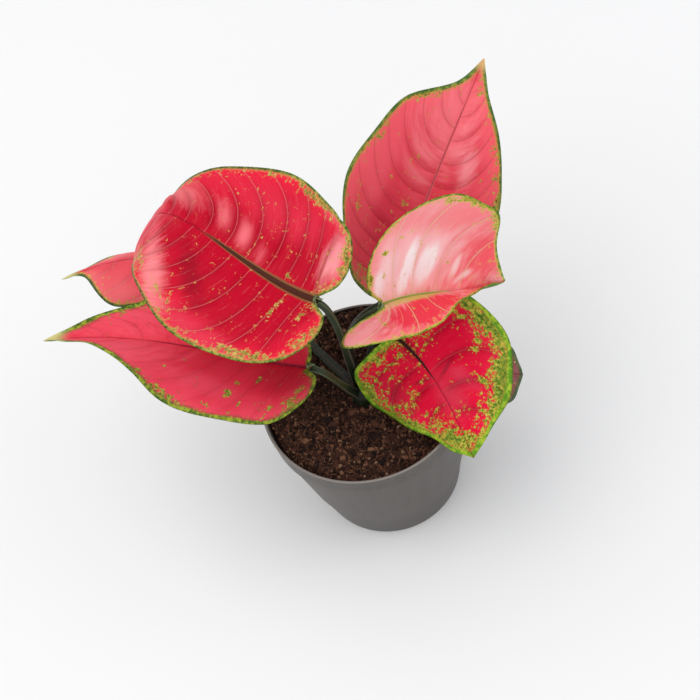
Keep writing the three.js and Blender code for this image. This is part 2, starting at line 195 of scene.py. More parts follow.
# %% Places, masks and noise
class Masks(Tree):
    def rise(self, value, low, high):
        sockets = {"Value": value, "From Min": low, "From Max": high}
        return self.out("ShaderNodeMapRange", {"interpolation_type": "SMOOTHSTEP"}, sockets)

    def fall(self, value, low, high):
        return 1 - self.rise(value, low, high)

    def split(self, vector):
        made = self.node("ShaderNodeSeparateXYZ", None, {0: vector})
        return [Wire(self, made.outputs[k]) for k in range(3)]

    def join(self, x, y, z):
        return self.out("ShaderNodeCombineXYZ", None, {0: x, 1: y, 2: z})

    def field(self, name):
        return self.out("ShaderNodeAttribute", {"attribute_name": name}, output="Vector")

    def number(self, name):
        return self.out("ShaderNodeAttribute", {"attribute_name": name}, output="Fac")

    def position(self):
        return self.out("ShaderNodeTexCoord", output="Object")

    def noise(self, vector, scale, detail=3.0, roughness=0.5):
        sockets = {"Vector": vector, "Scale": scale, "Detail": detail, "Roughness": roughness}
        return self.out("ShaderNodeTexNoise", {"noise_dimensions": "3D"}, sockets)


# %% The finish class
class Finish(Masks):
    def __init__(self, name, **fixed):
        self.material = bpy.data.materials.new(name)
        self.material.use_nodes = True
        tree = self.material.node_tree
        super().__init__(tree)
        self.shader = tree.nodes["Principled BSDF"]
        for key, value in fixed.items():
            self.shader.inputs[key.replace("_", " ")].default_value = value

    def surface(self, colour, roughness, height=None):
        self.feed(self.shader.inputs["Base Color"], colour)
        self.feed(self.shader.inputs["Roughness"], roughness)
        if height is not None:
            bump = self.out("ShaderNodeBump", None, {"Strength": 1.0, "Distance": MM, "Height": height})
            self.feed(self.shader.inputs["Normal"], bump)

    def blend(self, amount, *colours):
        first, second = (linear(c) if isinstance(c, str) else c for c in colours)
        return self.out("ShaderNodeMix", {"data_type": "RGBA"}, {0: amount, 6: first, 7: second}, output=2)

    def layered(self, colour, *layers):
        for mask, over in layers:
            colour = self.blend(mask, colour, over)
        return colour

    def ramp(self, value, stops):
        steps = [(at, linear(code)) for at, code in stops]
        return self.out("ShaderNodeValToRGB", {"stops": steps}, {"Fac": value})


# %% [markdown]
# Meshes from points
#
# Most pieces are grids of points that wrap round an axis or follow a leaf, so a few helpers are
# enough. They make rings of points about an axis, list the faces of a grid, close a stack of rings at
# both ends, turn points and faces into an object, store a value at each point for a finish to read,
# and put a finished piece in the place of a CAD node.

# %% Helpers for points and faces
def rings_of(radii, heights, count, centre=(0.0, 0.0)):
    """One ring of points about a vertical axis for each radius and height."""
    angles = np.linspace(0, 2 * np.pi, count, endpoint=False)
    r, z = (np.asarray(v, float)[:, None] for v in (radii, heights))
    return np.stack([centre[0] + r * np.cos(angles), centre[1] + r * np.sin(angles), z + 0 * angles], -1)


def grid_faces(rows, columns, wrap=False):
    faces = []
    for i in range(rows - 1):
        for j in range(columns if wrap else columns - 1):
            k = (j + 1) % columns
            faces.append((i * columns + j, i * columns + k, (i + 1) * columns + k, (i + 1) * columns + j))
    return faces


def capped(rings, first, last):
    """Points and faces of a stack of rings, closed by a fan round a point at either end."""
    rows, columns = rings.shape[:2]
    points = np.concatenate([rings.reshape(-1, 3), [first, last]])
    faces = grid_faces(rows, columns, wrap=True)
    low, high, top = rows * columns, rows * columns + 1, (rows - 1) * columns
    for j in range(columns):
        k = (j + 1) % columns
        faces.append((low, k, j))
        faces.append((high, top + j, top + k))
    return points, faces


# %% Helpers for objects
def mesh_object(name, points, faces, finish, smooth=True):
    mesh = bpy.data.meshes.new(name)
    mesh.from_pydata((np.asarray(points, float) * MM).tolist(), [], faces)
    if smooth:
        mesh.shade_smooth()
    mesh.materials.append(finish.material)
    return new_object(name, mesh)


def plain_mesh(obj):
    """A new mesh with the object's modifiers applied."""
    graph = bpy.context.evaluated_depsgraph_get()
    return bpy.data.meshes.new_from_object(obj.evaluated_get(graph), depsgraph=graph)


def store(obj, name, values):
    values = np.asarray(values, np.float32)
    kind, key = ("FLOAT_VECTOR", "vector") if values.ndim == 2 else ("FLOAT", "value")
    obj.data.attributes.new(name, kind, "POINT").data.foreach_set(key, values.ravel())


def stand_for(obj, slot, *nodes):
    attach(obj, "root")
    if nodes:
        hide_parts(*nodes)
    print(f"{obj.name}: {len(obj.data.vertices)} points, {len(obj.data.polygons)} faces")


# %% [markdown]
# The pot
#
# A thin-walled nursery pot, injection moulded in dark grey plastic. It has a stiff band under the rim,
# a small step a third of the way up where the lower part fits into another pot, rounded edges and a
# ring of drainage holes. Such a body is a profile turned about an axis. The profile is listed once,
# from the middle of the underside up the outside, over the rim and down the inside, and the round
# edges are arcs in it.

# %% The pot's profile
POT_HEIGHT = 98.0
POT_FLOOR = 2.4
BAND_FOOT = 83.0
FOOT_TOP = 31.0
POT_SEGMENTS = 180


def arc(centre, radius, start, end, steps=5):
    angles = np.radians(np.linspace(start, end, steps))
    return [(centre[0] + radius * math.cos(a), centre[1] + radius * math.sin(a)) for a in angles]


def pot_profile():
    outside = [(0, 0), (20, 0), (40.5, 0)] + arc((41.0, 2.0), 2.0, -90, -12)
    outside += [(45.9, 16.0), (48.8, FOOT_TOP)] + arc((48.9, FOOT_TOP + 0.7), 0.6, -60, -5, 4)
    outside += [(52.3, 48.5), (55.2, 66.0), (57.8, BAND_FOOT - 0.2)]
    outside += arc((58.4, BAND_FOOT + 0.6), 0.6, -50, -8, 4) + [(59.4, 90.0), (59.8, 95.6)]
    rim = arc((59.15, POT_HEIGHT - 0.85), 0.85, 0, 180, 9)
    inside = [(58.0, 96.0), (56.4, BAND_FOOT), (52.2, 58.0), (47.9, FOOT_TOP + 0.8), (42.6, 6.0)]
    inside += arc((40.4, POT_FLOOR + 1.6), 1.6, -10, -90, 4) + [(20, POT_FLOOR), (0, POT_FLOOR)]
    return outside + rim + inside


def turned(profile, segments, centre=(0.0, 0.0)):
    """A closed body turned about a vertical axis; the profile's two ends lie on that axis."""
    first, *sides, last = profile
    rings = rings_of(*zip(*sides), segments, centre)
    return capped(rings, [*centre, first[1]], [*centre, last[1]])


profile = pot_profile()
print("pot profile:", len(profile), "points, widest", max(r for r, z in profile), "mm")

# %% [markdown]
# The pot's plastic
#
# Recycled polypropylene comes out of the mould a warm dark grey with a satin skin. Faint streaks run
# up the wall where the melt flowed, the skin has a very fine grain, and use leaves a few light
# scuffs and soil dust near the top. A paler, glossier line along the lip of the rim is a painted
# highlight, and a thin dark line under the band and under the step is painted shade. Each of these is
# one mask over the same grey.

# %% Finish of the plastic
LINE_DROP = 0.6


def painted_ledge_shade(f, z, step):
    """A thin line of painted shade just under a step in the wall."""
    return f.fall(abs(z - (step - LINE_DROP) * MM), 0.3 * MM, 1.4 * MM)


def plastic_finish():
    f = Finish("grey_plastic", Specular_IOR_Level=0.45)
    place = f.position()
    x, y, z = f.split(place)
    turn = f.maths("ARCTAN2", y, x)
    flow = f.noise(f.join(turn * 9, z * 12, 0.0), 1.0, detail=4, roughness=0.6)
    cloud = f.noise(place, 22, detail=4)
    grain = f.noise(place, 900, detail=2)
    dust = f.rise(f.noise(place, 160, detail=5, roughness=0.7), 0.5, 0.72) * f.rise(z, 60 * MM, 97 * MM)
    scratch = f.noise(f.join(turn * 26, z * 900, 3.0), 1.0, detail=2)
    scuff = f.rise(scratch, 0.66, 0.72) * f.rise(f.noise(place, 45, detail=2), 0.52, 0.66)
    # painted highlight: a paler line along the lip of the rim, which is also a little glossier
    rim = f.rise(z, (POT_HEIGHT - 1.0) * MM, (POT_HEIGHT - 0.2) * MM)
    # painted shade: a thin dark line under the band and under the step
    grey = f.layered(
        f.blend(f.rise(flow + (cloud - 0.5) * 0.8, 0.3, 0.7), "46413d", "4d4742"),
        (dust * 0.35, "5a483c"), (scuff * 0.5, "8f877f"),
        ((painted_ledge_shade(f, z, BAND_FOOT) + painted_ledge_shade(f, z, FOOT_TOP)) * 0.5, "2b2725"), (rim * 0.8, "958c84"),
    )
    f.surface(grey, 0.36 + cloud * 0.12 + scuff * 0.2 + dust * 0.15 - rim * 0.08,
              grain * 0.05 + flow * 0.03 + scuff * 0.03)
    return f


plastic = plastic_finish()
print(plastic.material.name, "has", len(plastic.nodes), "nodes")

# %% [markdown]
# A geometry tree as a class
#
# What repeats or follows a path is made by geometry nodes. A tree has named inputs for its sizes, so
# that one tree serves several pieces. It ends by realising its instances, because the export drops
# them, and by setting the material. The class below also holds what several trees share: a size that
# lies between two inputs, a vector made longer or shorter, and a value stored under a name.

# %% The class of geometry trees
class Pattern(Tree):
    def __init__(self, name, numbers, whole_numbers=()):
        self.group = bpy.data.node_groups.new(name, "GeometryNodeTree")
        face = self.group.interface
        face.new_socket("Geometry", in_out="INPUT", socket_type="NodeSocketGeometry")
        for kind, labels in (("Int", whole_numbers), ("Float", numbers)):
            for label in labels:
                face.new_socket(label, in_out="INPUT", socket_type="NodeSocket" + kind)
        face.new_socket("Geometry", in_out="OUTPUT", socket_type="NodeSocketGeometry")
        super().__init__(self.group)
        self.given = self.group.nodes.new("NodeGroupInput")

    def value(self, label):
        return Wire(self, self.given.outputs[label])

    def between(self, low, high, share):
        return self.value(low) + (self.value(high) - self.value(low)) * share

    def scaled(self, vector, by):
        return self.out("ShaderNodeVectorMath", {"operation": "SCALE"}, {0: vector, "Scale": by})

    def stored(self, geometry, name, value, domain="POINT"):
        sockets = {"Geometry": geometry, "Name": name, "Value": value}
        return self.out("GeometryNodeStoreNamedAttribute", {"data_type": "FLOAT", "domain": domain}, sockets)

    def realised(self, geometry):
        return self.out("GeometryNodeRealizeInstances", None, {0: geometry})

    def finish(self, geometry, material):
        sockets = {"Geometry": self.realised(geometry), "Material": material}
        done = self.out("GeometryNodeSetMaterial", None, sockets)
        end = self.group.nodes.new("NodeGroupOutput")
        self.links.new(done.socket, end.inputs[0])


# %% Run a tree on an object
def grown(name, base, pattern, values):
    """The result of a geometry tree as a plain mesh object; the base keeps no modifier."""
    modifier = base.modifiers.new("grow", "NODES")
    modifier.node_group = pattern.group
    for item in pattern.group.interface.items_tree:
        if item.in_out == "INPUT" and item.name in values:
            modifier[item.identifier] = values[item.name]
    mesh = plain_mesh(base)
    mesh.name = name
    base.modifiers.remove(modifier)
    return new_object(name, mesh)


# %% [markdown]
# The drainage holes
#
# The eight drainage holes repeat round the floor, so a small geometry tree places the drills: a mesh
# circle gives the places, an instance of a cylinder stands on each, and the instances are realised.
# The result cuts the turned body with one Boolean, and no modifier stays on the pot.

# %% Turn the pot and drill its floor
DRAIN_HOLES = 8
DRAIN_RADIUS = 3.5
DRAIN_CIRCLE = 35.0
DRILL_LENGTH = 12.0
SHARP_ANGLE = math.radians(40)


def drill_pattern():
    p = Pattern("drain_drills", ["Circle", "Radius", "Depth"], ["Holes"])
    ring = p.out("GeometryNodeMeshCircle", None, {"Vertices": p.value("Holes"), "Radius": p.value("Circle")})
    sockets = {"Vertices": 32, "Radius": p.value("Radius"), "Depth": p.value("Depth")}
    drill = p.out("GeometryNodeMeshCylinder", None, sockets)
    placed = p.out("GeometryNodeInstanceOnPoints", None, {"Points": ring, "Instance": drill})
    p.finish(placed, plastic.material)
    return p


def cut(obj, tool):
    modifier = obj.modifiers.new("cut", "BOOLEAN")
    modifier.object = tool
    modifier.solver = "EXACT"
    mesh = plain_mesh(obj)
    obj.modifiers.remove(modifier)
    obj.data = mesh
    bpy.data.objects.remove(tool)


pot = mesh_object("pot_body", *turned(profile, POT_SEGMENTS), plastic)
empty = mesh_object("drill_seed", [], [], plastic)
drills = grown("drills", empty, drill_pattern(), {
    "Holes": DRAIN_HOLES, "Circle": DRAIN_CIRCLE * MM, "Radius": DRAIN_RADIUS * MM,
    "Depth": DRILL_LENGTH * MM,
})
bpy.data.objects.remove(empty)
cut(pot, drills)
pot.data.shade_smooth()
pot.data.set_sharp_from_angle(angle=SHARP_ANGLE)
stand_for(pot, "grey_plastic", "pot")

# %% [markdown]
# The soil
#
# Potting soil is a heap of crumbs of peat and shredded coir, heaped up behind the plant and lower at
# the front. One closed bed gives the heap and its lumps, from the same waves as the CAD solid with a
# little fractal noise on top. The crumbs and the fibres that make it look like soil are scattered on
# it by geometry trees, because there are thousands of them.

# %% The soil's surface
SOIL_FRONT = 88.0
SOIL_BACK = 97.5
SOIL_LUMPS = 1.3
SOIL_RADIUS = 56.6
SOIL_MOUND = 1.8
FINE_WAVES = [(0.35, 0.7), (0.9, 0.5), (2, 0.25)]
LATTICE = 256


def smooth(t):
    t = np.clip(t, 0, 1)
    return t * t * (3 - 2 * t)


def value_noise(x, y, seed):
    """Smooth noise from a lattice of random numbers, between -1 and 1."""
    lattice = np.random.default_rng(seed).uniform(-1, 1, (LATTICE, LATTICE))
    i, j = np.floor(x).astype(int), np.floor(y).astype(int)
    u, v = smooth(x - i), smooth(y - j)
    i0, i1, j0, j1 = i % LATTICE, (i + 1) % LATTICE, j % LATTICE, (j + 1) % LATTICE
    near = lattice[i0, j0] * (1 - u) + lattice[i1, j0] * u
    far = lattice[i0, j1] * (1 - u) + lattice[i1, j1] * u
    return near * (1 - v) + far * v


def soil_level(x, y):
    """Height of the soil in mm: a slope, a mound at the stem, three waves and noise of three sizes."""
    heap = SOIL_FRONT + (SOIL_BACK - SOIL_FRONT) * smooth((y + 55) / 110)
    mound = SOIL_MOUND * np.exp(-(x * x + y * y) / 400)
    lumps = 0.5 * np.sin(0.43 * x + 0.9 * np.sin(0.21 * y))
    lumps += 0.5 * np.sin(0.39 * y + 1.1 * np.sin(0.17 * x + 1)) + 0.4 * np.sin(0.83 * x - 0.57 * y)
    fine = sum(value_noise(x * k, y * k, n) * high for n, (k, high) in enumerate(FINE_WAVES))
    return heap + mound + SOIL_LUMPS * lumps + fine


def soil_grid(rings, sectors, radius):
    grid = rings_of(np.linspace(0, radius, rings + 1)[1:], np.zeros(rings), sectors)
    grid[..., 2] = soil_level(grid[..., 0], grid[..., 1])
    return grid


top = soil_grid(110, 240, SOIL_RADIUS)
print("soil rises from", round(top[..., 2].min(), 1), "to", round(top[..., 2].max(), 1), "mm")

# %% [markdown]
# The soil's colours
#
# Soil is nearly black where it is damp and in the gaps, and turns reddish brown where coir shows.
# The bed reads its colour from noise in space. Each crumb carries a number of its own, its tone, and a
# ramp turns that number into peat, coir, a dry tan flake or, for a very few, a pale grain of perlite.

# %% Finishes of the soil
CRUMB_TONES = [
    (0.0, "1c110c"), (0.25, "38211a"), (0.55, "5c3829"), (0.80, "7c4f3a"), (0.95, "9a6c50"), (1.0, "b68f6e"),
]
FIBRE_TONES = [(0.0, "382219"), (0.5, "6b4433"), (0.8, "94664c"), (0.97, "b48a6c")]


def bed_finish():
    f = Finish("soil_bed", Specular_IOR_Level=0.2)
    place = f.position()
    coarse = f.noise(place, 120, detail=6, roughness=0.7)
    fine = f.noise(place, 700, detail=4, roughness=0.7)
    brown = f.blend(f.rise(coarse, 0.35, 0.7), "2a1a13", "553528")
    brown = f.blend(f.rise(fine, 0.52, 0.75), brown, "6b4838")
    f.surface(brown, 0.85 + fine * 0.15, coarse * 0.8 + fine * 0.5)
    return f


def crumb_finish(name, stops):
    f = Finish(name, Specular_IOR_Level=0.25)
    grain = f.noise(f.position(), 1400, detail=3, roughness=0.6)
    colour = f.ramp(f.number("tone") + (grain - 0.5) * 0.12, stops)
    shade = f.blend(f.rise(grain, 0.3, 0.7) * 0.5, colour, "160d0a")
    f.surface(shade, 0.75 + grain * 0.2, grain * 0.25)
    return f


bed = bed_finish()
crumb = crumb_finish("soil_crumb", CRUMB_TONES)
fibre = crumb_finish("coir_fibre", FIBRE_TONES)
print("soil finishes:", bed.material.name, crumb.material.name, fibre.material.name)

# %% Make the bed
BED_WALL = [(42.4, 3.0), (47.5, 32.0), (SOIL_RADIUS - 0.6, 82.0)]


def soil_bed():
    """The wall inside the pot as rings from the bottom up, and then the top's rings from its edge in."""
    wall = rings_of(*zip(*BED_WALL), top.shape[1])
    centre = float(soil_level(np.zeros(1), np.zeros(1))[0])
    return capped(np.concatenate([wall, top[::-1]]), [0, 0, BED_WALL[0][1]], [0, 0, centre])


soil = mesh_object("soil_bed", *soil_bed(), bed)
stand_for(soil, "potting_soil", "soil")

# %% [markdown]
# Scattering crumbs
#
# The tree spreads points over the top of the bed, stands a squashed twenty-sided ball on each, turned
# at random, and stores the tone on every instance before they are realised, so that it is still there
# as a number at each point of the mesh. Noise then pushes the corners about. Small crumbs are common
# and large ones rare, because the random size is raised to a power. Clods are the same tree again,
# with fewer and larger pieces of a rounder ball. The fibres further down are strewn in the same way, so
# what they share with the crumbs is a class of its own.

# %% A tree that strews loose pieces
class Strewing(Pattern):
    def random(self, low, high, seed):
        sockets = {2: low, 3: high, "Seed": seed}
        return self.out("FunctionNodeRandomValue", {"data_type": "FLOAT"}, sockets, output=1)

    def random_vector(self, low, high, seed):
        sockets = {0: low, 1: high, "Seed": seed}
        return self.out("FunctionNodeRandomValue", {"data_type": "FLOAT_VECTOR"}, sockets)

    def strewn(self, shape, turn, scale, tone):
        """The shape on points strewn over the surface; each copy keeps its tone when it is realised."""
        sockets = {"Mesh": self.value("Geometry"), "Density": self.value("Per square metre")}
        sockets["Seed"] = self.value("Seed")
        points = self.out("GeometryNodeDistributePointsOnFaces", {"distribute_method": "RANDOM"}, sockets)
        sockets = {"Points": points, "Instance": shape, "Rotation": turn, "Scale": scale}
        placed = self.out("GeometryNodeInstanceOnPoints", None, sockets)
        return self.realised(self.stored(placed, "tone", tone, "INSTANCE"))

    def pushed(self, geometry, scale, amount):
        """Every point is moved by noise of the given scale, by up to about half the amount."""
        sockets = {"Vector": self.out("GeometryNodeInputPosition"), "Scale": scale}
        noise = self.out("ShaderNodeTexNoise", None, sockets, output=1)
        push = self.out("ShaderNodeVectorMath", {"operation": "SUBTRACT"}, {0: noise, 1: (0.5, 0.5, 0.5)})
        sockets = {"Geometry": geometry, "Offset": self.scaled(push, amount)}
        return self.out("GeometryNodeSetPosition", None, sockets)


# %% The crumb tree
FULL_TURN = 6.283


def crumb_pattern(name, material, facets):
    numbers = ["Per square metre", "Smallest", "Largest", "Rarity", "Lumpiness"]
    p = Strewing(name, numbers, ["Seed"])
    seed = p.value("Seed")
    ball = p.out("GeometryNodeMeshIcoSphere", None, {"Radius": 1.0, "Subdivisions": facets})
    size = p.between("Smallest", "Largest", p.random(0.0, 1.0, seed + 1) ** p.value("Rarity"))
    squash = p.random_vector((0.6, 0.5, 0.4), (1.3, 1.0, 0.8), seed + 2)
    turn = p.random_vector((0, 0, 0), (FULL_TURN, FULL_TURN, FULL_TURN), seed + 3)
    solid = p.strewn(ball, turn, p.scaled(squash, size), p.random(0.0, 1.0, seed + 4))
    p.finish(p.pushed(solid, 900.0, p.value("Lumpiness")), material)
    return p


# %% Strew crumbs and clods
PATCH_RINGS, PATCH_SECTORS = 60, 160

patch_grid = soil_grid(PATCH_RINGS, PATCH_SECTORS, SOIL_RADIUS - 0.4)
patch_faces = grid_faces(PATCH_RINGS, PATCH_SECTORS, wrap=True)
patch = mesh_object("soil_top", patch_grid.reshape(-1, 3), patch_faces, bed)
crumbs = grown("soil_crumbs", patch, crumb_pattern("crumbs", crumb.material, 1), {
    "Per square metre": 700000.0, "Smallest": 0.45 * MM, "Largest": 1.7 * MM, "Rarity": 2.2,
    "Lumpiness": 0.8 * MM, "Seed": 11,
})
stand_for(crumbs, "potting_soil")
clods = grown("soil_clods", patch, crumb_pattern("clods", crumb.material, 2), {
    "Per square metre": 42000.0, "Smallest": 1.2 * MM, "Largest": 2.6 * MM, "Rarity": 1.6,
    "Lumpiness": 2.2 * MM, "Seed": 23,
})
stand_for(clods, "potting_soil")

# %% [markdown]
# Coir fibres
#
# Short hairs of coconut husk lie across the crumbs and a few stand up from them. Each starts as one
# bent curve that is scattered like a crumb. Noise curls it once it is realised, and a three-sided
# profile is swept along it, which is round enough for something a quarter of a millimetre thick.

# %% The fibre tree
def fibre_pattern(material):
    numbers = ["Per square metre", "Shortest", "Longest", "Thickness", "Curl"]
    p = Strewing("fibres", numbers, ["Seed"])
    seed = p.value("Seed")
    bow = {"Resolution": 7, "Start": (-0.5, 0, 0), "Middle": (0, 0.35, 0.12), "End": (0.5, 0, 0.05)}
    hair = p.out("GeometryNodeCurveQuadraticBezier", None, bow)
    size = p.between("Shortest", "Longest", p.random(0.0, 1.0, seed + 1) ** 2.0)
    turn = p.random_vector((-0.5, -0.45, 0), (0.5, 0.45, FULL_TURN), seed + 2)
    scale = p.out("ShaderNodeCombineXYZ", None, {0: size, 1: size, 2: size})
    loose = p.strewn(hair, turn, scale, p.random(0.0, 1.0, seed + 3))
    ring = p.out("GeometryNodeCurvePrimitiveCircle", None, {"Resolution": 3, "Radius": p.value("Thickness")})
    sockets = {"Curve": p.pushed(loose, 260.0, p.value("Curl")), "Profile Curve": ring, "Fill Caps": True}
    p.finish(p.out("GeometryNodeCurveToMesh", None, sockets), material)
    return p


fibres = grown("soil_fibres", patch, fibre_pattern(fibre.material), {
    "Per square metre": 150000.0, "Shortest": 2.0 * MM, "Longest": 9.0 * MM, "Thickness": 0.11 * MM,
    "Curl": 4.0 * MM, "Seed": 41,
})
stand_for(fibres, "potting_soil")
bpy.data.objects.remove(patch)

# %% [markdown]
# The leaves
#
# Each leaf is a heart-shaped blade with a midrib and curved side veins that run out to the margin, and
# the blade swells up a little between two veins. So the blade is swept vein by vein. A point on it has
# two coordinates: s counts along the midrib from the petiole to the tip, and q runs from the midrib to
# the margin along the side vein that starts at s. The numbers below are the same as in the CAD source.
# First come those that all leaves share: how the side veins crowd, sweep and lean, and how the swells
# between them rise beside the midrib, die away outwards and differ from one to the next.

# %% Numbers that all leaves share
START_HALF_WIDTH = 2.2
VEIN_CROWD = 0.80
VEIN_SWEEP = 0.42
VEIN_OUT = 0.80
VEIN_LEAN, VEIN_UPRIGHT = 0.8, 0.6
VEIN_FIRST, VEIN_FIRST_REACH = 0.3, 0.02
STAGGER = 0.5
QUILT = 1.3
CREST_ROUNDNESS = 0.8
MINOR_SWELL = 0.22
PUCKER_RISE, PUCKER_FALL = 0.6, 1.3
PUCKER_AT = PUCKER_RISE / (PUCKER_RISE + PUCKER_FALL)
PUCKER_TOP = PUCKER_AT**PUCKER_RISE * (1 - PUCKER_AT) ** PUCKER_FALL
QUILT_ENDS = 0.35
UNEVEN, UNEVEN_TURN = 0.4, 2.1
WAVE_PHASE = 0.2
print("a swell is highest at", round(PUCKER_AT, 2), "of the way from the midrib to the margin")

# %% [markdown]
# Each leaf's own numbers: where its midrib starts and ends, the way it faces, how the midrib bows and
# twists, and how the two halves fold and curl. The pairs are the left and the right half, seen from
# above with the tip ahead. The last two say where its petiole stands and how it leaves the crown.

# %% The numbers of each leaf
LEAVES = {
    "front_left": dict(
        base=(-6, -14, 214), tip=(-90, 106, 156), faces=(17, 73), rise=(8, 74), sway=(5, -21), twist=3,
        width=(54, 52), lobe=(17, 14), belly=(0.36, 0.33), taper=(0.59, 0.38), neck=(0.40, 0.33),
        fold=(23, 24), fold_tip=(-10, -11), curl=(-31, 2), veins=12, wave=1.2, waves=2.5, swell=(0.6, 1.7),
        foot=(-1, 0, 101), leave=(-2, 9, 26)),
    "low_left": dict(
        base=(-22, -18, 165), tip=(-165, 80, 140), faces=(15, 70), rise=(-29, -16), sway=(-7, -20), twist=-40,
        width=(49, 37), lobe=(22, 6), belly=(0.45, 0.37), taper=(0.55, 0.54), neck=(0.35, 0.26),
        fold=(37, 45), fold_tip=(37, 45), curl=(-40, -15), veins=9, wave=1.2, waves=3, swell=(0.6, 0.6),
        foot=(-3, -2, 99), leave=(-8, -3, 16)),
    "back_left": dict(
        base=(-36, 70, 126), tip=(-147, 124, 134), faces=(85, 68), rise=(34, 22), sway=(-5, -4), twist=0,
        width=(32, 20), lobe=(7, 6), belly=(0.33, 0.33), taper=(0.87, 0.60), neck=(0.14, 0.22),
        fold=(5, -12), fold_tip=(5, -12), curl=(-70, -60), veins=8, wave=0.8, waves=2, swell=(0.6, 0.6),
        foot=(-2, 2, 98), leave=(-9, 10, 12)),
    "upright": dict(
        base=(33, 26, 138), tip=(129, 121, 194), faces=(18, 45), rise=(-12, 11), sway=(0, 4), twist=38,
        width=(60, 42), lobe=(8, 4), belly=(0.37, 0.44), taper=(0.60, 0.62), neck=(0.15, 0.24),
        fold=(34, 10), fold_tip=(34, 10), curl=(10, -24), veins=12, wave=0.8, waves=3, swell=(0.8, 0.7),
        foot=(3, 2, 99), leave=(5, 6, 18)),
    "front_right": dict(
        base=(24, -4, 177), tip=(96, 12, 136), faces=(1, 53), rise=(-2, 5), sway=(6, -4), twist=0,
        width=(64, 34), lobe=(12, 40), belly=(0.38, 0.24), taper=(0.78, 0.22), neck=(0.25, 0.10),
        fold=(36, 52), fold_tip=(36, 97), curl=(10, 3), veins=6, wave=1.2, waves=2.5, swell=(1.0, 0.6),
        foot=(1, 3, 101), leave=(-7, 18, 27)),
    "drooping": dict(
        base=(26, -2, 144), tip=(45, -65, 95), faces=(0, 55), rise=(-4, 13), sway=(10, 4), twist=-8,
        width=(47, 45), lobe=(12, 3), belly=(0.42, 0.30), taper=(0.67, 0.50), neck=(0.28, 0.28),
        fold=(-3, -13), fold_tip=(-3, -13), curl=(2, -38), veins=7, wave=1.2, waves=2.5, swell=(0.9, 0.9),
        foot=(4, -3, 99), leave=(4, 3, 18)),
    "low_right": dict(
        base=(39, -14, 115), tip=(89, -23, 92), faces=(20, 60), rise=(4, 6), sway=(0, 0), twist=0,
        width=(21, 21), lobe=(8, 8), belly=(0.40, 0.40), taper=(0.88, 0.90), neck=(0.66, 0.70),
        fold=(8, 8), fold_tip=(8, 8), curl=(-10, -10), veins=6, wave=0.8, waves=2, swell=(0.8, 0.8),
        foot=(3, -4, 95), leave=(8, -3, 9)),
}
print("leaves:", ", ".join(LEAVES))

# %% [markdown]
# The midrib
#
# The midrib is one cubic curve between its two ends. A frame of three directions travels along it:
# ahead, up out of the leaf's upper side, and to the left. It is carried on from point to point without
# turning about the curve, and the leaf's own twist is added evenly on top.

# %% The midrib as a class
def bezier(points, t):
    p0, p1, p2, p3 = (np.asarray(p, float) for p in points)
    t = np.asarray(t, float)[..., None]
    return (1 - t) ** 3 * p0 + 3 * t * (1 - t) ** 2 * p1 + 3 * t * t * (1 - t) * p2 + t ** 3 * p3


def evenly(points, count):
    """The same line as count points at equal distances along it, and its length."""
    run = np.concatenate([[0], np.cumsum(np.linalg.norm(np.diff(points, axis=0), axis=1))])
    at = np.linspace(0, run[-1], count)
    return np.stack([np.interp(at, run, points[:, k]) for k in range(points.shape[1])], -1), run[-1]


class Midrib:
    def __init__(self, leaf, steps=120):
        base, tip = np.array(leaf["base"], float), np.array(leaf["tip"], float)
        azimuth, elevation = np.radians(leaf["faces"])
        up = np.array([math.sin(azimuth) * math.cos(elevation),
                       -math.cos(azimuth) * math.cos(elevation), math.sin(elevation)])
        chord = tip - base
        up = unit(up - unit(chord) * up.dot(unit(chord)))
        left = np.cross(up, unit(chord))
        handles = [base + chord * (i + 1) / 3 + up * leaf["rise"][i] + left * leaf["sway"][i] for i in (0, 1)]
        curve = bezier([base, *handles, tip], np.linspace(0, 1, 2001))
        self.points, self.length = evenly(curve, steps + 1)
        self.ahead = np.gradient(self.points, axis=0)
        self.ahead /= np.linalg.norm(self.ahead, axis=1)[:, None]
        twist = math.radians(leaf["twist"])
        ups = []
        for i, t in enumerate(self.ahead):
            up = unit(up - t * up.dot(t))
            w = twist * i / steps
            ups.append(up * math.cos(w) + np.cross(up, t) * math.sin(w))
        self.up = np.array(ups)
        self.left = np.cross(self.up, self.ahead)

    def at(self, x):
        """Place and directions at distance x; before the base it runs straight on backwards."""
        u = np.clip(x / self.length, 0, 1) * (len(self.points) - 1)
        i = np.minimum(u.astype(int), len(self.points) - 2)
        f = (u - i)[..., None]
        mix = [a[i] * (1 - f) + a[i + 1] * f for a in (self.points, self.ahead, self.up, self.left)]
        mix[0] = mix[0] + mix[1] * np.minimum(x, 0)[..., None]
        return mix


# %% [markdown]
# The margin
#
# The outline of one half is drawn flat, through ten points that depend only on the leaf's length,
# half width, lobe, belly, taper and neck. A centripetal Catmull-Rom curve joins them, because it never
# loops between points that are unevenly spaced.

# %% The margin as a function
def catmull_rom(points, per_segment=60):
    p = np.array(points, float)
    p = np.concatenate([[2 * p[0] - p[1]], p, [2 * p[-1] - p[-2]]])
    gaps = np.linalg.norm(np.diff(p, axis=0), axis=1) ** 0.5
    t = np.linspace(0, 1, per_segment, endpoint=False)[:, None]
    line = []
    for i in range(len(p) - 3):
        a, b, c = gaps[i:i + 3]
        p0, p1, p2, p3 = p[i:i + 4]
        m1 = ((p1 - p0) / a - (p2 - p0) / (a + b) + (p2 - p1) / b) * b
        m2 = ((p2 - p1) / b - (p3 - p1) / (b + c) + (p3 - p2) / c) * b
        line.append(p1 + t * m1 + t * t * (3 * (p2 - p1) - 2 * m1 - m2) + t ** 3 * (2 * (p1 - p2) + m1 + m2))
    return np.concatenate([*line, [p[-2]]])


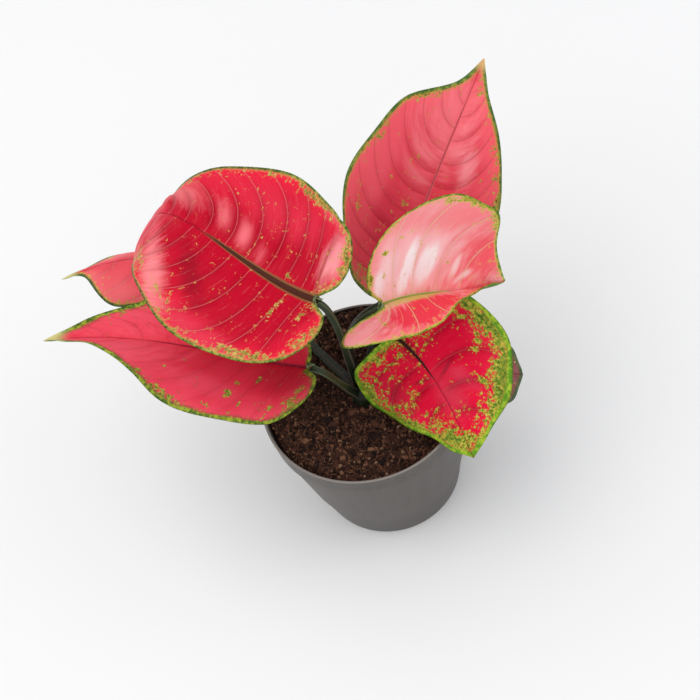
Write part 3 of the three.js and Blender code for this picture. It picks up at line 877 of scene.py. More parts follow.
def margin_line(leaf, half, length):
    width, lobe, belly = (leaf[k][half] for k in ("width", "lobe", "belly"))
    taper, neck = (leaf[k][half] for k in ("taper", "neck"))
    shoulder = belly + (0.72 - belly) * 0.55
    line = catmull_rom([
        (0, START_HALF_WIDTH), (-0.75 * lobe, 0.20 * width), (-lobe, 0.46 * width),
        (-0.45 * lobe, 0.76 * width), (0.45 * belly * length, 0.955 * width), (belly * length, width),
        (shoulder * length, (0.55 + 0.45 * taper) * width), (0.72 * length, taper * width),
        (0.87 * length, neck * width), (length, 0),
    ])
    return evenly(line, 500)[0]


# %% [markdown]
# The blade
#
# flat() gives where a point (s, q) lies in the flat leaf, and point() bends it into place: each half is
# folded up from the midrib and curls on towards its margin, and the relief lifts it along the
# surface's own normal. The relief has the swell between two veins, a smaller one at the weaker vein
# midway, and the waves of the margin.

# %% The blade as a class
class Blade:
    def __init__(self, leaf):
        self.leaf = leaf
        self.midrib = Midrib(leaf)
        self.margins = [margin_line(leaf, half, self.midrib.length) for half in (0, 1)]

    def flat(self, s, q, half):
        start = self.midrib.length * s
        line = self.margins[half]
        at = s ** VEIN_SWEEP * (len(line) - 1)
        end_x, end_y = (np.interp(at, np.arange(len(line)), line[:, k]) for k in (0, 1))
        lean = VEIN_LEAN * np.sqrt(s) * (s - VEIN_UPRIGHT) + VEIN_FIRST * np.exp(-s / VEIN_FIRST_REACH)
        bend_x = start + lean * end_y
        x = (1 - q) ** 2 * start + 2 * q * (1 - q) * bend_x + q * q * end_x
        return x, 2 * q * (1 - q) * VEIN_OUT * end_y + q * q * end_y

    def count(self, s, half):
        return self.leaf["veins"] * s ** VEIN_CROWD + STAGGER * half

    def relief(self, s, q, half):
        leaf, count = self.leaf, self.count(s, half)
        between = np.abs(np.sin(np.pi * count)) ** CREST_ROUNDNESS - 0.5
        minor = MINOR_SWELL * (np.abs(np.sin(2 * np.pi * count)) - 0.5)
        across = q ** PUCKER_RISE * (1 - q) ** PUCKER_FALL / PUCKER_TOP
        uneven = 1 + UNEVEN * np.sin(UNEVEN_TURN * count)
        middle = QUILT_ENDS + (1 - QUILT_ENDS) * np.sin(np.pi * s) ** 2
        along = uneven * middle * np.clip(3 * (1 - s), 0, 1)
        edge = np.sin(2 * np.pi * (leaf["waves"] * s + WAVE_PHASE)) * q * q * np.clip(6 * s * (1 - s), 0, 1)
        return QUILT * leaf["swell"][half] * (between + minor) * across * along + leaf["wave"] * edge

    def point(self, s, q, half):
        leaf, side = self.leaf, (1, -1)[half]
        x, y = self.flat(s, q, half)
        place, _, up, left = self.midrib.at(x)
        u = np.clip(x / self.midrib.length, 0, 1)
        start = np.radians(leaf["fold"][half] + (leaf["fold_tip"][half] - leaf["fold"][half]) * u)
        bend = math.radians(leaf["curl"][half]) / leaf["width"][half] + 1e-7
        end = start + bend * y
        lift = self.relief(s, q, half)
        sideways = side * ((np.sin(end) - np.sin(start)) / bend - lift * np.sin(end))
        rise = (np.cos(start) - np.cos(end)) / bend + lift * np.cos(end)
        return place + left * sideways[..., None] + up * rise[..., None]


# %% [markdown]
# A blade as a closed mesh
#
# The upper side is a grid of points with its columns crowded at the midrib. The underside lies less
# than a millimetre below, with the midrib standing out as a ridge, and both sides share the points of
# the margin, so the edge is thin and closed.

# %% The two sides of a blade
BLADE_THICKNESS = 0.7
ROWS_PER_VEIN = 16
HALF_COLUMNS = 27
ROW_CROWD, COLUMN_CROWD = 2.2, 1.4
RIDGE_HEIGHT, RIDGE_SPREAD = 2.34, 1.7
GROOVE_DEPTH, GROOVE_SPREAD = 0.35, 1.3
CLOSING = 0.03


def blade_grid(blade):
    rows = ROWS_PER_VEIN * blade.leaf["veins"] + 1
    s = (np.arange(rows) / (rows - 1))[:, None] ** ROW_CROWD
    q = (np.arange(HALF_COLUMNS + 1) / HALF_COLUMNS)[None] ** COLUMN_CROWD
    return np.broadcast_arrays(s, q)


def both_halves(left, right):
    return np.concatenate([right[:, ::-1], left[:, 1:]], 1)


def surface_normals(grid):
    normal = np.cross(np.gradient(grid, axis=0), np.gradient(grid, axis=1))
    normal = normal / np.maximum(np.linalg.norm(normal, axis=-1, keepdims=True), 1e-9)
    normal[-1] = normal[-2].mean(0)
    return normal


def two_sides(grid, across, along, rib):
    """The upper side with its groove over the midrib, and the underside with its ridge."""
    close = np.clip((1 - along) / CLOSING, 0, 1) ** 0.5
    ridge = RIDGE_HEIGHT * np.exp(-(rib / RIDGE_SPREAD) ** 2) * (1 - along) ** 0.8
    depth = (BLADE_THICKNESS * np.sqrt(np.clip(1 - across ** 12, 0, 1)) + ridge) * close
    groove = GROOVE_DEPTH * np.exp(-(rib / GROOVE_SPREAD) ** 2) * close
    normal = surface_normals(grid)
    return grid - normal * groove[..., None], grid - normal * depth[..., None]


# %% Closing the two sides into a shell
def shell_points(upper, tip, lower):
    """All of the upper side, the one point of the tip, and the underside without its margin."""
    return np.concatenate([upper[:-1].reshape(-1, 3), tip[None], lower[:-1, 1:-1].reshape(-1, 3)])


def shell_faces(rows, columns):
    apex = (rows - 1) * columns

    def top_id(i, j):
        return apex if i == rows - 1 else i * columns + j

    def low_id(i, j):
        if i == rows - 1 or j in (0, columns - 1):
            return top_id(i, j)
        return apex + 1 + i * (columns - 2) + j - 1

    faces = []
    for j in range(columns - 1):
        for i in range(rows - 1):
            corners = [(i, j), (i + 1, j), (i + 1, j + 1), (i, j + 1)]
            faces.append([top_id(*c) for c in corners])
            faces.append([low_id(*c) for c in corners[::-1]])
        faces.append([top_id(0, j), top_id(0, j + 1), low_id(0, j + 1), low_id(0, j)])
    faces = [tuple(dict.fromkeys(f)) for f in faces]
    return [f for f in faces if len(f) > 2]


# %% [markdown]
# What a leaf tells its finish
#
# A leaf is painted by where things are on it, and a shader can't work that out for itself. So four
# things are stored at every point of the mesh. leaf_place holds q, positive on the left, the number of
# veins passed so far, and s. leaf_reach holds millimetres to the margin, to the midrib and between two
# side veins. leaf_flat is the place in the flat leaf, and leaf_under is 1 on the underside.

# %% Store the leaf's own coordinates
NUDGE = 1e-3
MARGIN_STRIDE = 4
GAP_LIMITS = (0.5, 40)


def leaf_fields(blade, s, q, half):
    def flat(s, q):
        return np.stack(blade.flat(s, q, half), -1)

    low, high = np.clip(s - NUDGE, 0, 1), np.clip(s + NUDGE, 0, 1)
    ds = flat(high, q) - flat(low, q)
    dq = flat(s, np.clip(q + NUDGE, 0, 1)) - flat(s, np.clip(q - NUDGE, 0, 1))
    area = np.abs(ds[..., 0] * dq[..., 1] - ds[..., 1] * dq[..., 0])
    counted = blade.count(high, half) - blade.count(low, half)
    gap = np.clip(area / np.maximum(np.linalg.norm(dq, axis=-1) * counted, 1e-9), *GAP_LIMITS)
    here, margin = flat(s, q), blade.margins[half][None, None, ::MARGIN_STRIDE]
    away = np.linalg.norm(here[:, :, None] - margin, axis=-1).min(-1)
    x, y, side = here[..., 0], here[..., 1], (1, -1)[half]
    place = np.stack([side * q, blade.count(s, half), s], -1)
    return place, np.stack([away, y, gap], -1), np.stack([x, side * y, 0 * x], -1)


def leaf_object(name, blade, finish):
    s, q = blade_grid(blade)
    grid = both_halves(*(blade.point(s, q, half) for half in (0, 1)))
    fields = [both_halves(*pair) for pair in zip(*(leaf_fields(blade, s, q, half) for half in (0, 1)))]
    place, reach, _ = fields
    upper, lower = two_sides(grid, np.abs(place[..., 0]), place[..., 2], reach[..., 1])
    rows, columns = grid.shape[:2]
    faces = shell_faces(rows, columns)
    obj = mesh_object("leaf_" + name, shell_points(upper, grid[-1, 0], lower), faces, finish)
    for label, values in zip(("leaf_place", "leaf_reach", "leaf_flat"), fields):
        store(obj, label, shell_points(values, values[-1, columns // 2], values))
    points_above = (rows - 1) * columns + 1
    store(obj, "leaf_under", np.arange(len(obj.data.vertices)) >= points_above)
    return obj


# %% [markdown]
# The finish of a leaf
#
# The finish keeps what it reads as named sockets, so that the steps after it are short: the stored
# numbers, six fractal noises from coarse clouds to fine grain, streaks and fibres that follow the side
# veins, thin lines on those veins and on the weaker ones midway, and a crest that is highest between
# two veins. The seed lifts each leaf to a level of its own in the noise, so that no two are alike.

# %% What a leaf's finish reads
LEAF_LEVEL = 37.0


class LeafFinish(Finish):
    def __init__(self, name, look, length, seed):
        super().__init__(name, Specular_IOR_Level=look["gloss"])
        self.look, self.length = look, length
        self.flat = self.field("leaf_flat")
        self.from_petiole = self.split(self.flat)[0]
        side_q, self.vein, self.along = self.split(self.field("leaf_place"))
        self.edge, self.rib, self.gap = self.split(self.field("leaf_reach"))
        self.under = self.number("leaf_under")
        self.across = abs(side_q)
        self.right_half = 1 - self.rise(side_q, -0.02, 0.02)

        level = {0: self.flat, 1: (0, 0, seed * LEAF_LEVEL)}
        own = self.out("ShaderNodeVectorMath", {"operation": "ADD"}, level)
        self.clouds = self.noise(own, 0.05, 3)
        self.patches = self.noise(own, 0.11, 2)
        self.ragged = self.noise(own, 0.30, 7, 0.72)
        self.flecks = self.noise(own, 0.55, 4, 0.65)
        self.specks = self.noise(own, 0.85, 4, 0.65)
        self.grain = self.noise(own, 1.6, 3, 0.6)
        side = side_q * 3 + seed
        self.streaks = self.noise(self.join(self.across * 2.2, self.vein * 5.0, side), 1.0, 4, 0.6)
        self.fibres = self.noise(self.join(self.across * 5.0, self.vein * 26.0, side), 1.0, 2)
        self.draw_veins()

    def draw_veins(self):
        counted = self.vein + (self.ragged - 0.5) * 0.06
        self.to_vein = abs(self.maths("FRACT", counted + 0.5) - 0.5) * self.gap
        to_minor = abs(self.maths("FRACT", counted) - 0.5) * self.gap
        self.main_line = self.fall(self.to_vein, 0.08, 0.42) * self.fall(self.along, 0.72, 0.92)
        self.minor_line = self.fall(to_minor, 0.06, 0.32) * self.fall(self.along, 0.55, 0.8)
        self.minor_line = self.minor_line * self.rise(self.patches, 0.44, 0.60)
        self.crest = self.maths("SINE", self.maths("FRACT", self.vein) * math.pi)


# %% [markdown]
# The flesh
#
# The flesh of a red Aglaonema runs from a deep heart to a paler outer part. Over it lie washes: soft
# oval patches of another colour at fixed places of the flat leaf. Some are the leaf's own tints, some
# are painted highlights and painted shade, and those that show only on the crests between two veins
# are painted sheen. Painted shade along the sunken veins, a fine grain and the thin lines of the veins
# come after.

# %% Paint the flesh
def oval(f, centre_x, centre_y, long, wide, turn):
    """A soft patch with a streaky edge; long and wide are its radii in mm, and it is turned in degrees."""
    sockets = {"Vector": f.flat, "Location": (centre_x, centre_y, 0), "Scale": (long, wide, 1)}
    sockets["Rotation"] = (0, 0, math.radians(turn))
    inside = f.out("ShaderNodeMapping", {"vector_type": "TEXTURE"}, sockets)
    reach = f.out("ShaderNodeVectorMath", {"operation": "LENGTH"}, {0: inside}, output=1)
    return f.fall(reach + (f.clouds - 0.5) * 0.5 + (f.streaks - 0.5) * 1.1, 0.1, 1.1)


def flesh(f):
    look = f.look
    colour = f.blend(f.rise(f.across + (f.clouds - 0.5) * 0.7, 0.35, 1.0), look["heart"], look["outer"])
    # washes: the leaf's own tints, together with painted highlights and painted shade
    for code, amount, as_crest_sheen, *place in look["washes_and_painted_light"]:
        mask = oval(f, *place) * amount
        # a wash on the crests is a painted sheen along each swell between two veins
        if as_crest_sheen:
            mask = mask * f.crest * f.crest * (0.6 + 0.8 * f.streaks)
        colour = f.blend(mask, colour, code)
    # painted shade: the flesh darkens along the sunken veins, in the creases between the swells
    vein_crease_shade = (1 - f.crest) * (1 - f.crest) * f.fall(f.across, 0.5, 1.0) * f.rise(f.across, 0.0, 0.15)
    return f.layered(
        colour,
        (vein_crease_shade * look["vein_crease_shade"], look["deep"]),
        (f.rise(f.fibres, 0.45, 0.8) * 0.05, look["vein"]),
        (f.rise(f.grain, 0.55, 0.8) * 0.10, look["deep"]),
        (f.rise(f.flecks, 0.66, 0.72) * 0.12, look["vein"]),
        (f.main_line * look["line"], look["vein"]),
        (f.minor_line * look["line"] * 0.5, look["vein"]),
    )


# %% [markdown]
# The green mottling
#
# Green and yellow mottling eats in from the margin and along the first veins. Its ragged edges come
# from a fractal noise that is cut at a level: wherever the sum below is high enough the leaf is green.
# The sum is raised near the margin, near the first veins and in a few ovals, which are the leaf's own
# spots. A brownish halo shows just before the green, and the greens themselves are a ramp over finer
# noise.

# %% Paint the mottling
GREEN_STEPS = (0.36, 0.45, 0.54, 0.64)


def mottled(f, colour):
    look = f.look
    near_margin = f.fall(f.edge + (f.patches - 0.5) * 14, 0.0, look["margin_reach"]) * look["margin_mottle"]
    near_vein = f.fall(f.to_vein, 0.0, 2.2) * f.fall(f.along, look["vein_reach"] * 0.6, look["vein_reach"])
    level = f.ragged + (f.specks - 0.5) * 0.45 + (f.streaks - 0.5) * 0.25 + (f.patches - 0.5) * look["patchy"]
    level = level + near_margin * 0.24 + near_vein * look["vein_mottle"] * 0.14
    for amount, *place in look["spots"]:
        level = level + oval(f, *place) * amount * look["spot_gain"]
    green = f.ramp(f.flecks + f.specks - 0.5 + (f.ragged - 0.5) * 0.3, zip(GREEN_STEPS, look["greens"]))
    return f.layered(
        colour,
        (f.rise(level, 0.63, 0.685) * 0.75, look["halo"]),
        (f.rise(level, 0.68, 0.72), green),
        (f.rise(level, 0.80, 0.90) * 0.7, look["greens"][0]),
    )


# %% [markdown]
# Border, midrib and underside
#
# A thin green border of uneven width runs round every blade and fades inwards through a ragged fringe.
# The midrib is dark, with a paler line on either side, and thins out towards the tip, whose last few
# millimetres are often dry and pale. The underside is duller: green and red in soft patches, with pale
# green veins and a pale green ridge.

# %% Paint the border and the midrib
def border_share(f):
    """How far in from the margin a point is, counted in widths of the border there."""
    width = f.look["border"] * (0.45 + f.patches * 1.1) * (1 + f.right_half * f.look["border_right"])
    return f.edge / width


def bordered(f, colour):
    look, share = f.look, border_share(f)
    green = f.blend(f.rise(f.ragged, 0.42, 0.6), look["border_deep"], look["border_light"])
    return f.layered(
        colour,
        (f.fall(share + (f.ragged - 0.5) * 2.6, 1.0, 1.7) * look["fringe"], look["halo"]),
        (f.fall(share + (f.ragged - 0.5) * 0.6, 0.75, 1.15), green),
        (f.fall(f.edge, 0.25, 0.6) * 0.6, look["greens"][0]),
    )


def ribbed(f, colour):
    look, x = f.look, f.from_petiole
    thick, thin = look["rib"]
    share = f.rib / (thick + (thin - thick) * f.rise(x, 0.0, look["rib_end"]))
    run = f.fall(x, look["rib_end"] * 0.75, look["rib_end"])
    tip = f.rise(x, f.length - look["point"], f.length - 0.3 * look["point"])
    return f.layered(
        colour,
        (f.fall(f.rib, 0.15, 0.5) * 0.6, look["deep"]),
        (f.fall(share + (f.ragged - 0.5) * 1.2, 1.0, 1.5) * run * look["rib_edge_amount"], look["rib_edge"]),
        (f.fall(share, 0.6, 0.85) * run, look["rib_dark"]),
        (tip * look["point_amount"], look["point_colour"]),
    )


# %% Paint the underside and put the leaf's finish together
def underside(f):
    look = f.look
    return f.layered(
        f.blend(f.rise(f.clouds + (f.ragged - 0.5) * 0.5, 0.35, 0.65), look["back"], look["back_green"]),
        (f.fall(f.to_vein, 0.2, 1.2) * 0.45, "a9b08c"),
        (f.fall(border_share(f), 0.75, 1.15), look["border_deep"]),
        (f.fall(f.rib, 1.6, 2.6), "7f9467"),
    )


def leaf_finish(name, look, length, seed):
    f = LeafFinish(name, look, length, seed)
    upper = ribbed(f, bordered(f, mottled(f, flesh(f))))
    rough = look["rough"] + (f.grain - 0.5) * 0.16 + f.under * 0.18 + (f.clouds - 0.5) * 0.12
    height = f.fibres * 0.03 + f.grain * 0.03 - f.main_line * 0.12 - f.minor_line * 0.05 + f.streaks * 0.10
    f.surface(f.blend(f.under, upper, underside(f)), rough, height * (1 - f.under * 0.6))
    return f


# %% [markdown]
# The look of each leaf
#
# The same finish makes every leaf: only its colours, amounts and ovals differ, so they are a table.
# What most leaves share comes first. A wash is its colour, its amount, whether it shows only on the
# crests, and then the oval: its centre in millimetres from the petiole and to the left of the midrib,
# its two radii and how far it is turned. Some washes are the leaf's own tints and some are painted
# highlights and painted shade; a wash that shows only on the crests is a painted sheen. A spot of
# green is an amount and such an oval.

# %% What most leaves share
SHARED_LOOK = dict(
    heart="bc0024", outer="e41c3a", deep="800018", vein_crease_shade=0.45, line=0.48, vein="e87874", washes_and_painted_light=[], spots=[],
    spot_gain=1.4, margin_reach=9.0, margin_mottle=0.7, vein_mottle=0.3, vein_reach=0.4, patchy=0.22,
    halo="c08a3a", greens=("3f5a1e", "6f8f2a", "a5b43a", "cfc55a"), border=1.6, border_right=0.0, fringe=0.6,
    border_deep="4c6a26", border_light="a2a64a", rib=(2.6, 0.7), rib_end=88.0, rib_dark="4e281c",
    rib_edge="7c6038", rib_edge_amount=0.8, point=10.0, point_amount=0.0, point_colour="d8cf8e",
    back="9c5a5c", back_green="6f7c58", rough=0.38, gloss=0.06,
)
LOOKS = {}

# %% [markdown]
# The large leaf in front is the deepest crimson. Painted highlights make it paler where it arches over
# at its far end, on the lobe to the right of its petiole and on the crests beside its midrib, a band of
# painted shade lies along the fold of the arch, and its spots are gold.

# %% The crimson leaf in front
LOOKS["front_left"] = dict(
    greens=("4a5a24", "7d7c30", "ab9440", "cdb062"), halo="c98a52",
    # the washes at (94, 33), (143, 7), (-2, -23) and on the crests at (66, -12) are painted highlights, and
    # the dark one at (70, 22) is painted shade
    washes_and_painted_light=[
        ("e03850", 0.8, False, 45, 48, 70, 11, -4), ("ee6468", 0.7, False, 12, 50, 16, 5, 0),
        ("f8888c", 0.95, False, 94, 33, 42, 12, -41), ("ec4c5c", 0.85, False, 145, 8, 42, 34, 0),
        ("f8c8c4", 0.75, False, 143, 7, 13, 5, 62), ("dc2c44", 0.8, False, 45, -32, 70, 16, 4),
        ("f4767e", 0.85, True, 66, -12, 32, 9, -14), ("90001c", 0.7, False, 70, 22, 30, 8, -38),
        ("f07a80", 0.6, False, 112, -14, 26, 9, -4), ("f8989c", 0.95, False, -2, -23, 11, 20, -6),
        ("ee7078", 0.5, False, 8, -44, 24, 6, -10),
    ],
    spots=[
        (0.13, 17, 14, 3.5, 13, 0), (0.13, 0, 16, 3.0, 14, 18), (0.12, -9, 26, 7, 14, -20),
        (0.13, -9, -24, 5, 15, 12), (0.10, 75, 41, 24, 5, -14), (0.13, 118, 27, 26, 7, -24),
        (0.10, 14, 44, 20, 4, 10), (0.08, 30, -47, 34, 4, -2), (0.10, 24, -6, 4, 3, 0),
    ])

# %% [markdown]
# Three leaves are rose red with fine, dark veins and a dry, pale point: the long one at the lower left,
# the small one behind it, of which little shows, and the tall upright one, with a paler upper half that
# is partly its own tint and partly painted sheen.

# %% The rose leaves at the left
LOOKS["low_left"] = dict(
    heart="e22e46", outer="ee4a5e", deep="98082a", line=0.12, vein="b83048", vein_crease_shade=0.12,
    washes_and_painted_light=[
        ("c01830", 0.8, False, 6, 14, 38, 16, 0), ("f65c6e", 0.85, False, 128, 6, 60, 34, 0),
        ("ee5468", 0.5, False, 60, 30, 40, 10, 0), ("c01e36", 0.5, False, 40, 2, 60, 4, 0),
    ],
    spots=[
        (0.16, 41, 31, 5, 4, 0), (0.15, 27, 17, 3, 5, 0), (0.14, 92, 27, 4, 3, 0), (0.12, 29, 35, 3, 3, 0),
        (0.12, 39, 23, 3, 3, 0), (0.12, 83, 18, 4, 3, 0), (0.12, 51, 41, 4, 3, 0), (0.13, 106, 35, 5, 3, 0),
        (0.13, -10, 25, 10, 16, 0), (0.09, 8, 32, 12, 6, -10), (0.10, 85, 44, 26, 4, -6),
        (0.12, 135, 26, 16, 4, -16),
    ],
    spot_gain=1.6, margin_mottle=0.55, vein_mottle=0.0, greens=("41501f", "667c26", "93a535", "b7b347"),
    halo="8d4a34", border=2.6, border_light="a5b238", rib=(0.9, 0.4), rib_end=120.0, rib_dark="98203a",
    rib_edge="a03048", rib_edge_amount=0.4, point=18.0, point_amount=0.95, rough=0.42)
LOOKS["back_left"] = dict(
    heart="e24c56", outer="ee6a70", deep="9c2036", line=0.35, vein="e08a8c", vein_crease_shade=0.25,
    washes_and_painted_light=[("f6868c", 0.6, False, 95, -6, 20, 6, 0)], vein_mottle=0.0, border=1.7, border_deep="3f5a30",
    border_light="6f7f40", rib=(1.2, 0.5), rib_end=100.0, rib_dark="8a2a3a", rib_edge="a85060",
    rib_edge_amount=0.4, point=16.0, point_amount=0.9, rough=0.45)

# %% The upright leaf
LOOKS["upright"] = dict(
    heart="de3e4e", outer="f05a66", deep="b81c34", line=0.34, vein="a83c3c", vein_crease_shade=0.2,
    # the two washes on the crests are painted sheen
    washes_and_painted_light=[
        ("f67880", 0.85, False, 108, 4, 44, 26, 0), ("f48088", 0.6, True, 78, 16, 30, 12, 30),
        ("f8969c", 0.75, False, 84, -15, 18, 7, 8), ("ee5866", 0.7, False, 60, 36, 40, 9, -10),
        ("c42840", 0.7, False, 34, 20, 26, 22, 0), ("f8989e", 0.4, True, 92, -6, 24, 8, -10),
    ],
    spots=[
        (0.14, 2, 32, 6, 12, 0), (0.08, 45, 48, 22, 3, 8), (0.14, 112, 26, 9, 3, -48),
        (0.10, 52, 14, 3, 4, 20), (0.08, 85, 42, 12, 3, -20), (0.10, 70, -38, 14, 3, 0),
        (0.08, 105, -26, 16, 3, 26),
    ],
    vein_mottle=0.0, margin_mottle=0.65, greens=("34501f", "5e702a", "8e8e3a", "b8a852"), border=2.2,
    border_right=-0.2, border_deep="4a6a2c", border_light="8a9640", rib=(0.9, 0.35), rib_end=140.0,
    rib_dark="c04c56", rib_edge="e08080", rib_edge_amount=0.5, point=11.0, point_amount=0.9,
    point_colour="dcb47a", rough=0.40)

# %% [markdown]
# The young leaf at the right is folded along its midrib. Its upper half is pale salmon with nearly
# white streaks between the veins, the half that is folded down is redder, and its veins are yellow.

# %% The salmon leaf
LOOKS["front_right"] = dict(
    heart="ffc0c0", outer="fb9296", deep="e0606c", line=0.75, vein="f2d0a0", vein_crease_shade=0.18,
    washes_and_painted_light=[
        ("f6525e", 0.95, False, 64, 20, 36, 38, 0), ("fa7a80", 0.7, False, 34, 48, 34, 15, 0),
        ("fbd6d4", 0.9, False, 2, 18, 12, 22, 0), ("fff6f4", 1.5, False, 15, 19, 5.4, 23, -8),
        ("fff2f0", 1.5, False, 26, 20, 7.5, 17, -14), ("fde0dc", 1.0, False, 51, 9, 8, 3.2, 35),
        ("fddcd8", 0.9, False, 44, 16, 3.0, 10, -8), ("fff0ee", 1.2, False, -2, 15, 4, 15, 8),
        ("ee3c50", 1.3, False, 18, -18, 48, 22, 0), ("f8a4a6", 0.7, False, -33, -20, 14, 12, 0),
        ("d0c468", 1.0, False, 19, -3, 30, 3.8, 0), ("f04a58", 0.7, False, 58, -6, 14, 10, 30),
    ],
    spots=[
        (0.16, -1, 35, 4, 4, 0), (0.13, 1, 20, 2.5, 4, 0), (0.12, 9, 10, 1.8, 3, 0), (0.12, 8, 42, 3, 2, 0),
        (0.13, -9, 22, 3, 12, 15), (0.12, 48, 58, 14, 6, -24), (0.08, 32, 60, 18, 4, 0),
        (0.12, 49, 44, 3, 2, 0), (0.10, 39, 19, 1.5, 3, 0), (0.10, 60, 46, 5, 12, 24),
        (0.08, -8, -14, 4, 8, 0),
    ],
    spot_gain=1.7, margin_mottle=0.45, vein_mottle=0.12, vein_reach=0.7, halo="d8b84e", border=1.5,
    greens=("4c6a18", "7c8c26", "aab03a", "d4ca60"), border_deep="5f8426", border_light="b9bc4e",
    rib=(0.9, 0.4), rib_end=48.0, rib_dark="9aa24a", rib_edge="d0c880", rough=0.40)

# %% [markdown]
# The drooping leaf hangs over the rim. It is the most mottled one: its heart is crimson, crossed by two
# thin dark lines that are the painted shade of a dent, and its outer third is green and yellow. Of the
# small one below it only an end shows, turned away from the light, dull and brownish.

# %% The drooping leaf and the small one below it
LOOKS["drooping"] = dict(
    heart="ea0a38", outer="f4284c", deep="7c0220", line=0.16, vein="e08a70", vein_crease_shade=0.5,
    # the two thin dark washes at (33, 8) and (31, -6) are the painted shade of a dent
    washes_and_painted_light=[
        ("60101c", 0.6, False, 33, 8, 2.0, 11, 24), ("60101c", 0.5, False, 31, -6, 2.2, 9, -16),
        ("dd3850", 0.8, False, 46, 4, 20, 12, 0), ("d81c3c", 0.8, False, 26, -24, 20, 10, 0),
        ("9c0220", 0.8, False, 8, 0, 18, 6, 0), ("e6506a", 0.4, False, 40, 14, 14, 6, 30),
    ],
    spots=[
        (0.12, 25, 43, 26, 8, 0), (0.13, 52, 30, 24, 9, -36), (0.15, 47, -30, 24, 6, 32),
        (0.12, 31, -5, 3, 7, 10), (0.10, 36, -16, 8, 5, -20), (0.08, 14, -38, 20, 4, -8),
        (0.12, 70, -4, 14, 12, 0), (0.08, 17, -20, 3, 7, 10), (0.07, 44, -6, 4, 4, 0),
        (0.10, 46, 22, 6, 4, 0),
    ],
    spot_gain=1.15, margin_reach=30.0, margin_mottle=0.78, vein_mottle=0.2, vein_reach=1.2, patchy=0.45,
    fringe=0.2, halo="a8742c", greens=("466a22", "74982c", "b2b03a", "d6c254"), border=3.0,
    border_deep="5c9426", border_light="b2c838", rib=(1.3, 0.4), rib_end=36.0, rib_dark="3a1a18",
    rib_edge="5a2a20", rib_edge_amount=0.7, rough=0.36)
LOOKS["low_right"] = dict(
    heart="9a5c5c", outer="8a5654", deep="602030", vein="a06068", margin_mottle=0.4, border=2.0,
    border_deep="4a5a40", border_light="66704c", halo="6d6040", rib_end=50.0, rough=0.5)

# %% Make the leaves
LEAF_SLOTS = {
    "front_left": "leaf_crimson", "drooping": "leaf_crimson", "low_left": "leaf_rose",
    "back_left": "leaf_rose", "upright": "leaf_rose", "low_right": "leaf_rose", "front_right": "leaf_salmon",
}

blades = {}
for seed, (name, leaf) in enumerate(LEAVES.items(), start=1):
    blade = blades[name] = Blade(leaf)
    length = blade.midrib.length
    painted = leaf_finish("leaf_" + name, {**SHARED_LOOK, **LOOKS[name]}, length, seed)
    obj = leaf_object(name, blade, painted)
    stand_for(obj, LEAF_SLOTS[name], "blade_" + name)
    print(f"{name}: midrib {length:.0f} mm long")

# %% [markdown]
# The petioles
#
# A petiole rises from the crown and bends into the midrib of its blade. It is thickest at the foot,
# where it clasps the stem, and carries a shallow channel on one side with a pale papery edge. That is a
# profile swept along a path, so the path is a curve object and a geometry tree does the sweep: it
# notches a circle for the profile, scales it down along the curve and stores two numbers for the
# finish, how far along the petiole and how far round it a point is.

# %% The petiole's path
PETIOLE_FOOT = 3.2
PETIOLE_TOP = 1.9
PETIOLE_UNDER_BLADE = 1.0
PETIOLE_HANDLE = (12, 4)
PATH_POINTS = 60


def petiole_path(blade):
    place, ahead, up, _ = (a[0] for a in blade.midrib.at(np.zeros(1)))
    end = place + ahead * PETIOLE_UNDER_BLADE - up * PETIOLE_TOP
    foot = np.array(blade.leaf["foot"], float)
    behind, below = PETIOLE_HANDLE
    handles = [foot, foot + blade.leaf["leave"], end - ahead * behind - up * below, end]
    return evenly(bezier(handles, np.linspace(0, 1, 400)), PATH_POINTS)


def path_object(name, points):
    curve = bpy.data.curves.new(name, "CURVE")
    curve.dimensions = "3D"
    spline = curve.splines.new("POLY")
    spline.points.add(len(points) - 1)
    flat = np.concatenate([np.asarray(points) * MM, np.ones((len(points), 1))], 1)
    spline.points.foreach_set("co", flat.astype(np.float32).ravel())
    return new_object(name, curve)


# %% The petiole tree
CHANNEL_WIDTH = 0.09
LIP_AT, LIP_WIDTH, LIP_HEIGHT = 0.13, 0.035, 0.16


def petiole_pattern(material):
    p = Pattern("petiole", ["Foot radius", "Top radius", "Channel", "Turn"])
    along = p.out("GeometryNodeSplineParameter")
    radius = p.between("Foot radius", "Top radius", p.maths("MINIMUM", along * 1.6, 1.0) ** 0.7)
    line = p.out("GeometryNodeSetCurveTilt", None, {"Curve": p.value("Geometry"), "Tilt": p.value("Turn")})
    line = p.stored(line, "along", along)
    around = p.out("GeometryNodeSplineParameter")
    notch = abs(around - 0.5) / CHANNEL_WIDTH
    lips = (abs(around - 0.5) - LIP_AT) / LIP_WIDTH
    notch, lips = (p.maths("EXPONENT", -(bump * bump)) for bump in (notch, lips))
    size = 1 - p.value("Channel") * notch + LIP_HEIGHT * lips
    ring = p.out("GeometryNodeCurvePrimitiveCircle", None, {"Resolution": 28, "Radius": 1.0})
    place = p.scaled(p.out("GeometryNodeInputPosition"), size)
    sockets = {"Geometry": p.stored(ring, "around", around), "Position": place}
    ring = p.out("GeometryNodeSetPosition", None, sockets)
    sockets = {"Curve": line, "Profile Curve": ring, "Scale": radius, "Fill Caps": True}
    p.finish(p.out("GeometryNodeCurveToMesh", None, sockets), material)
    return p


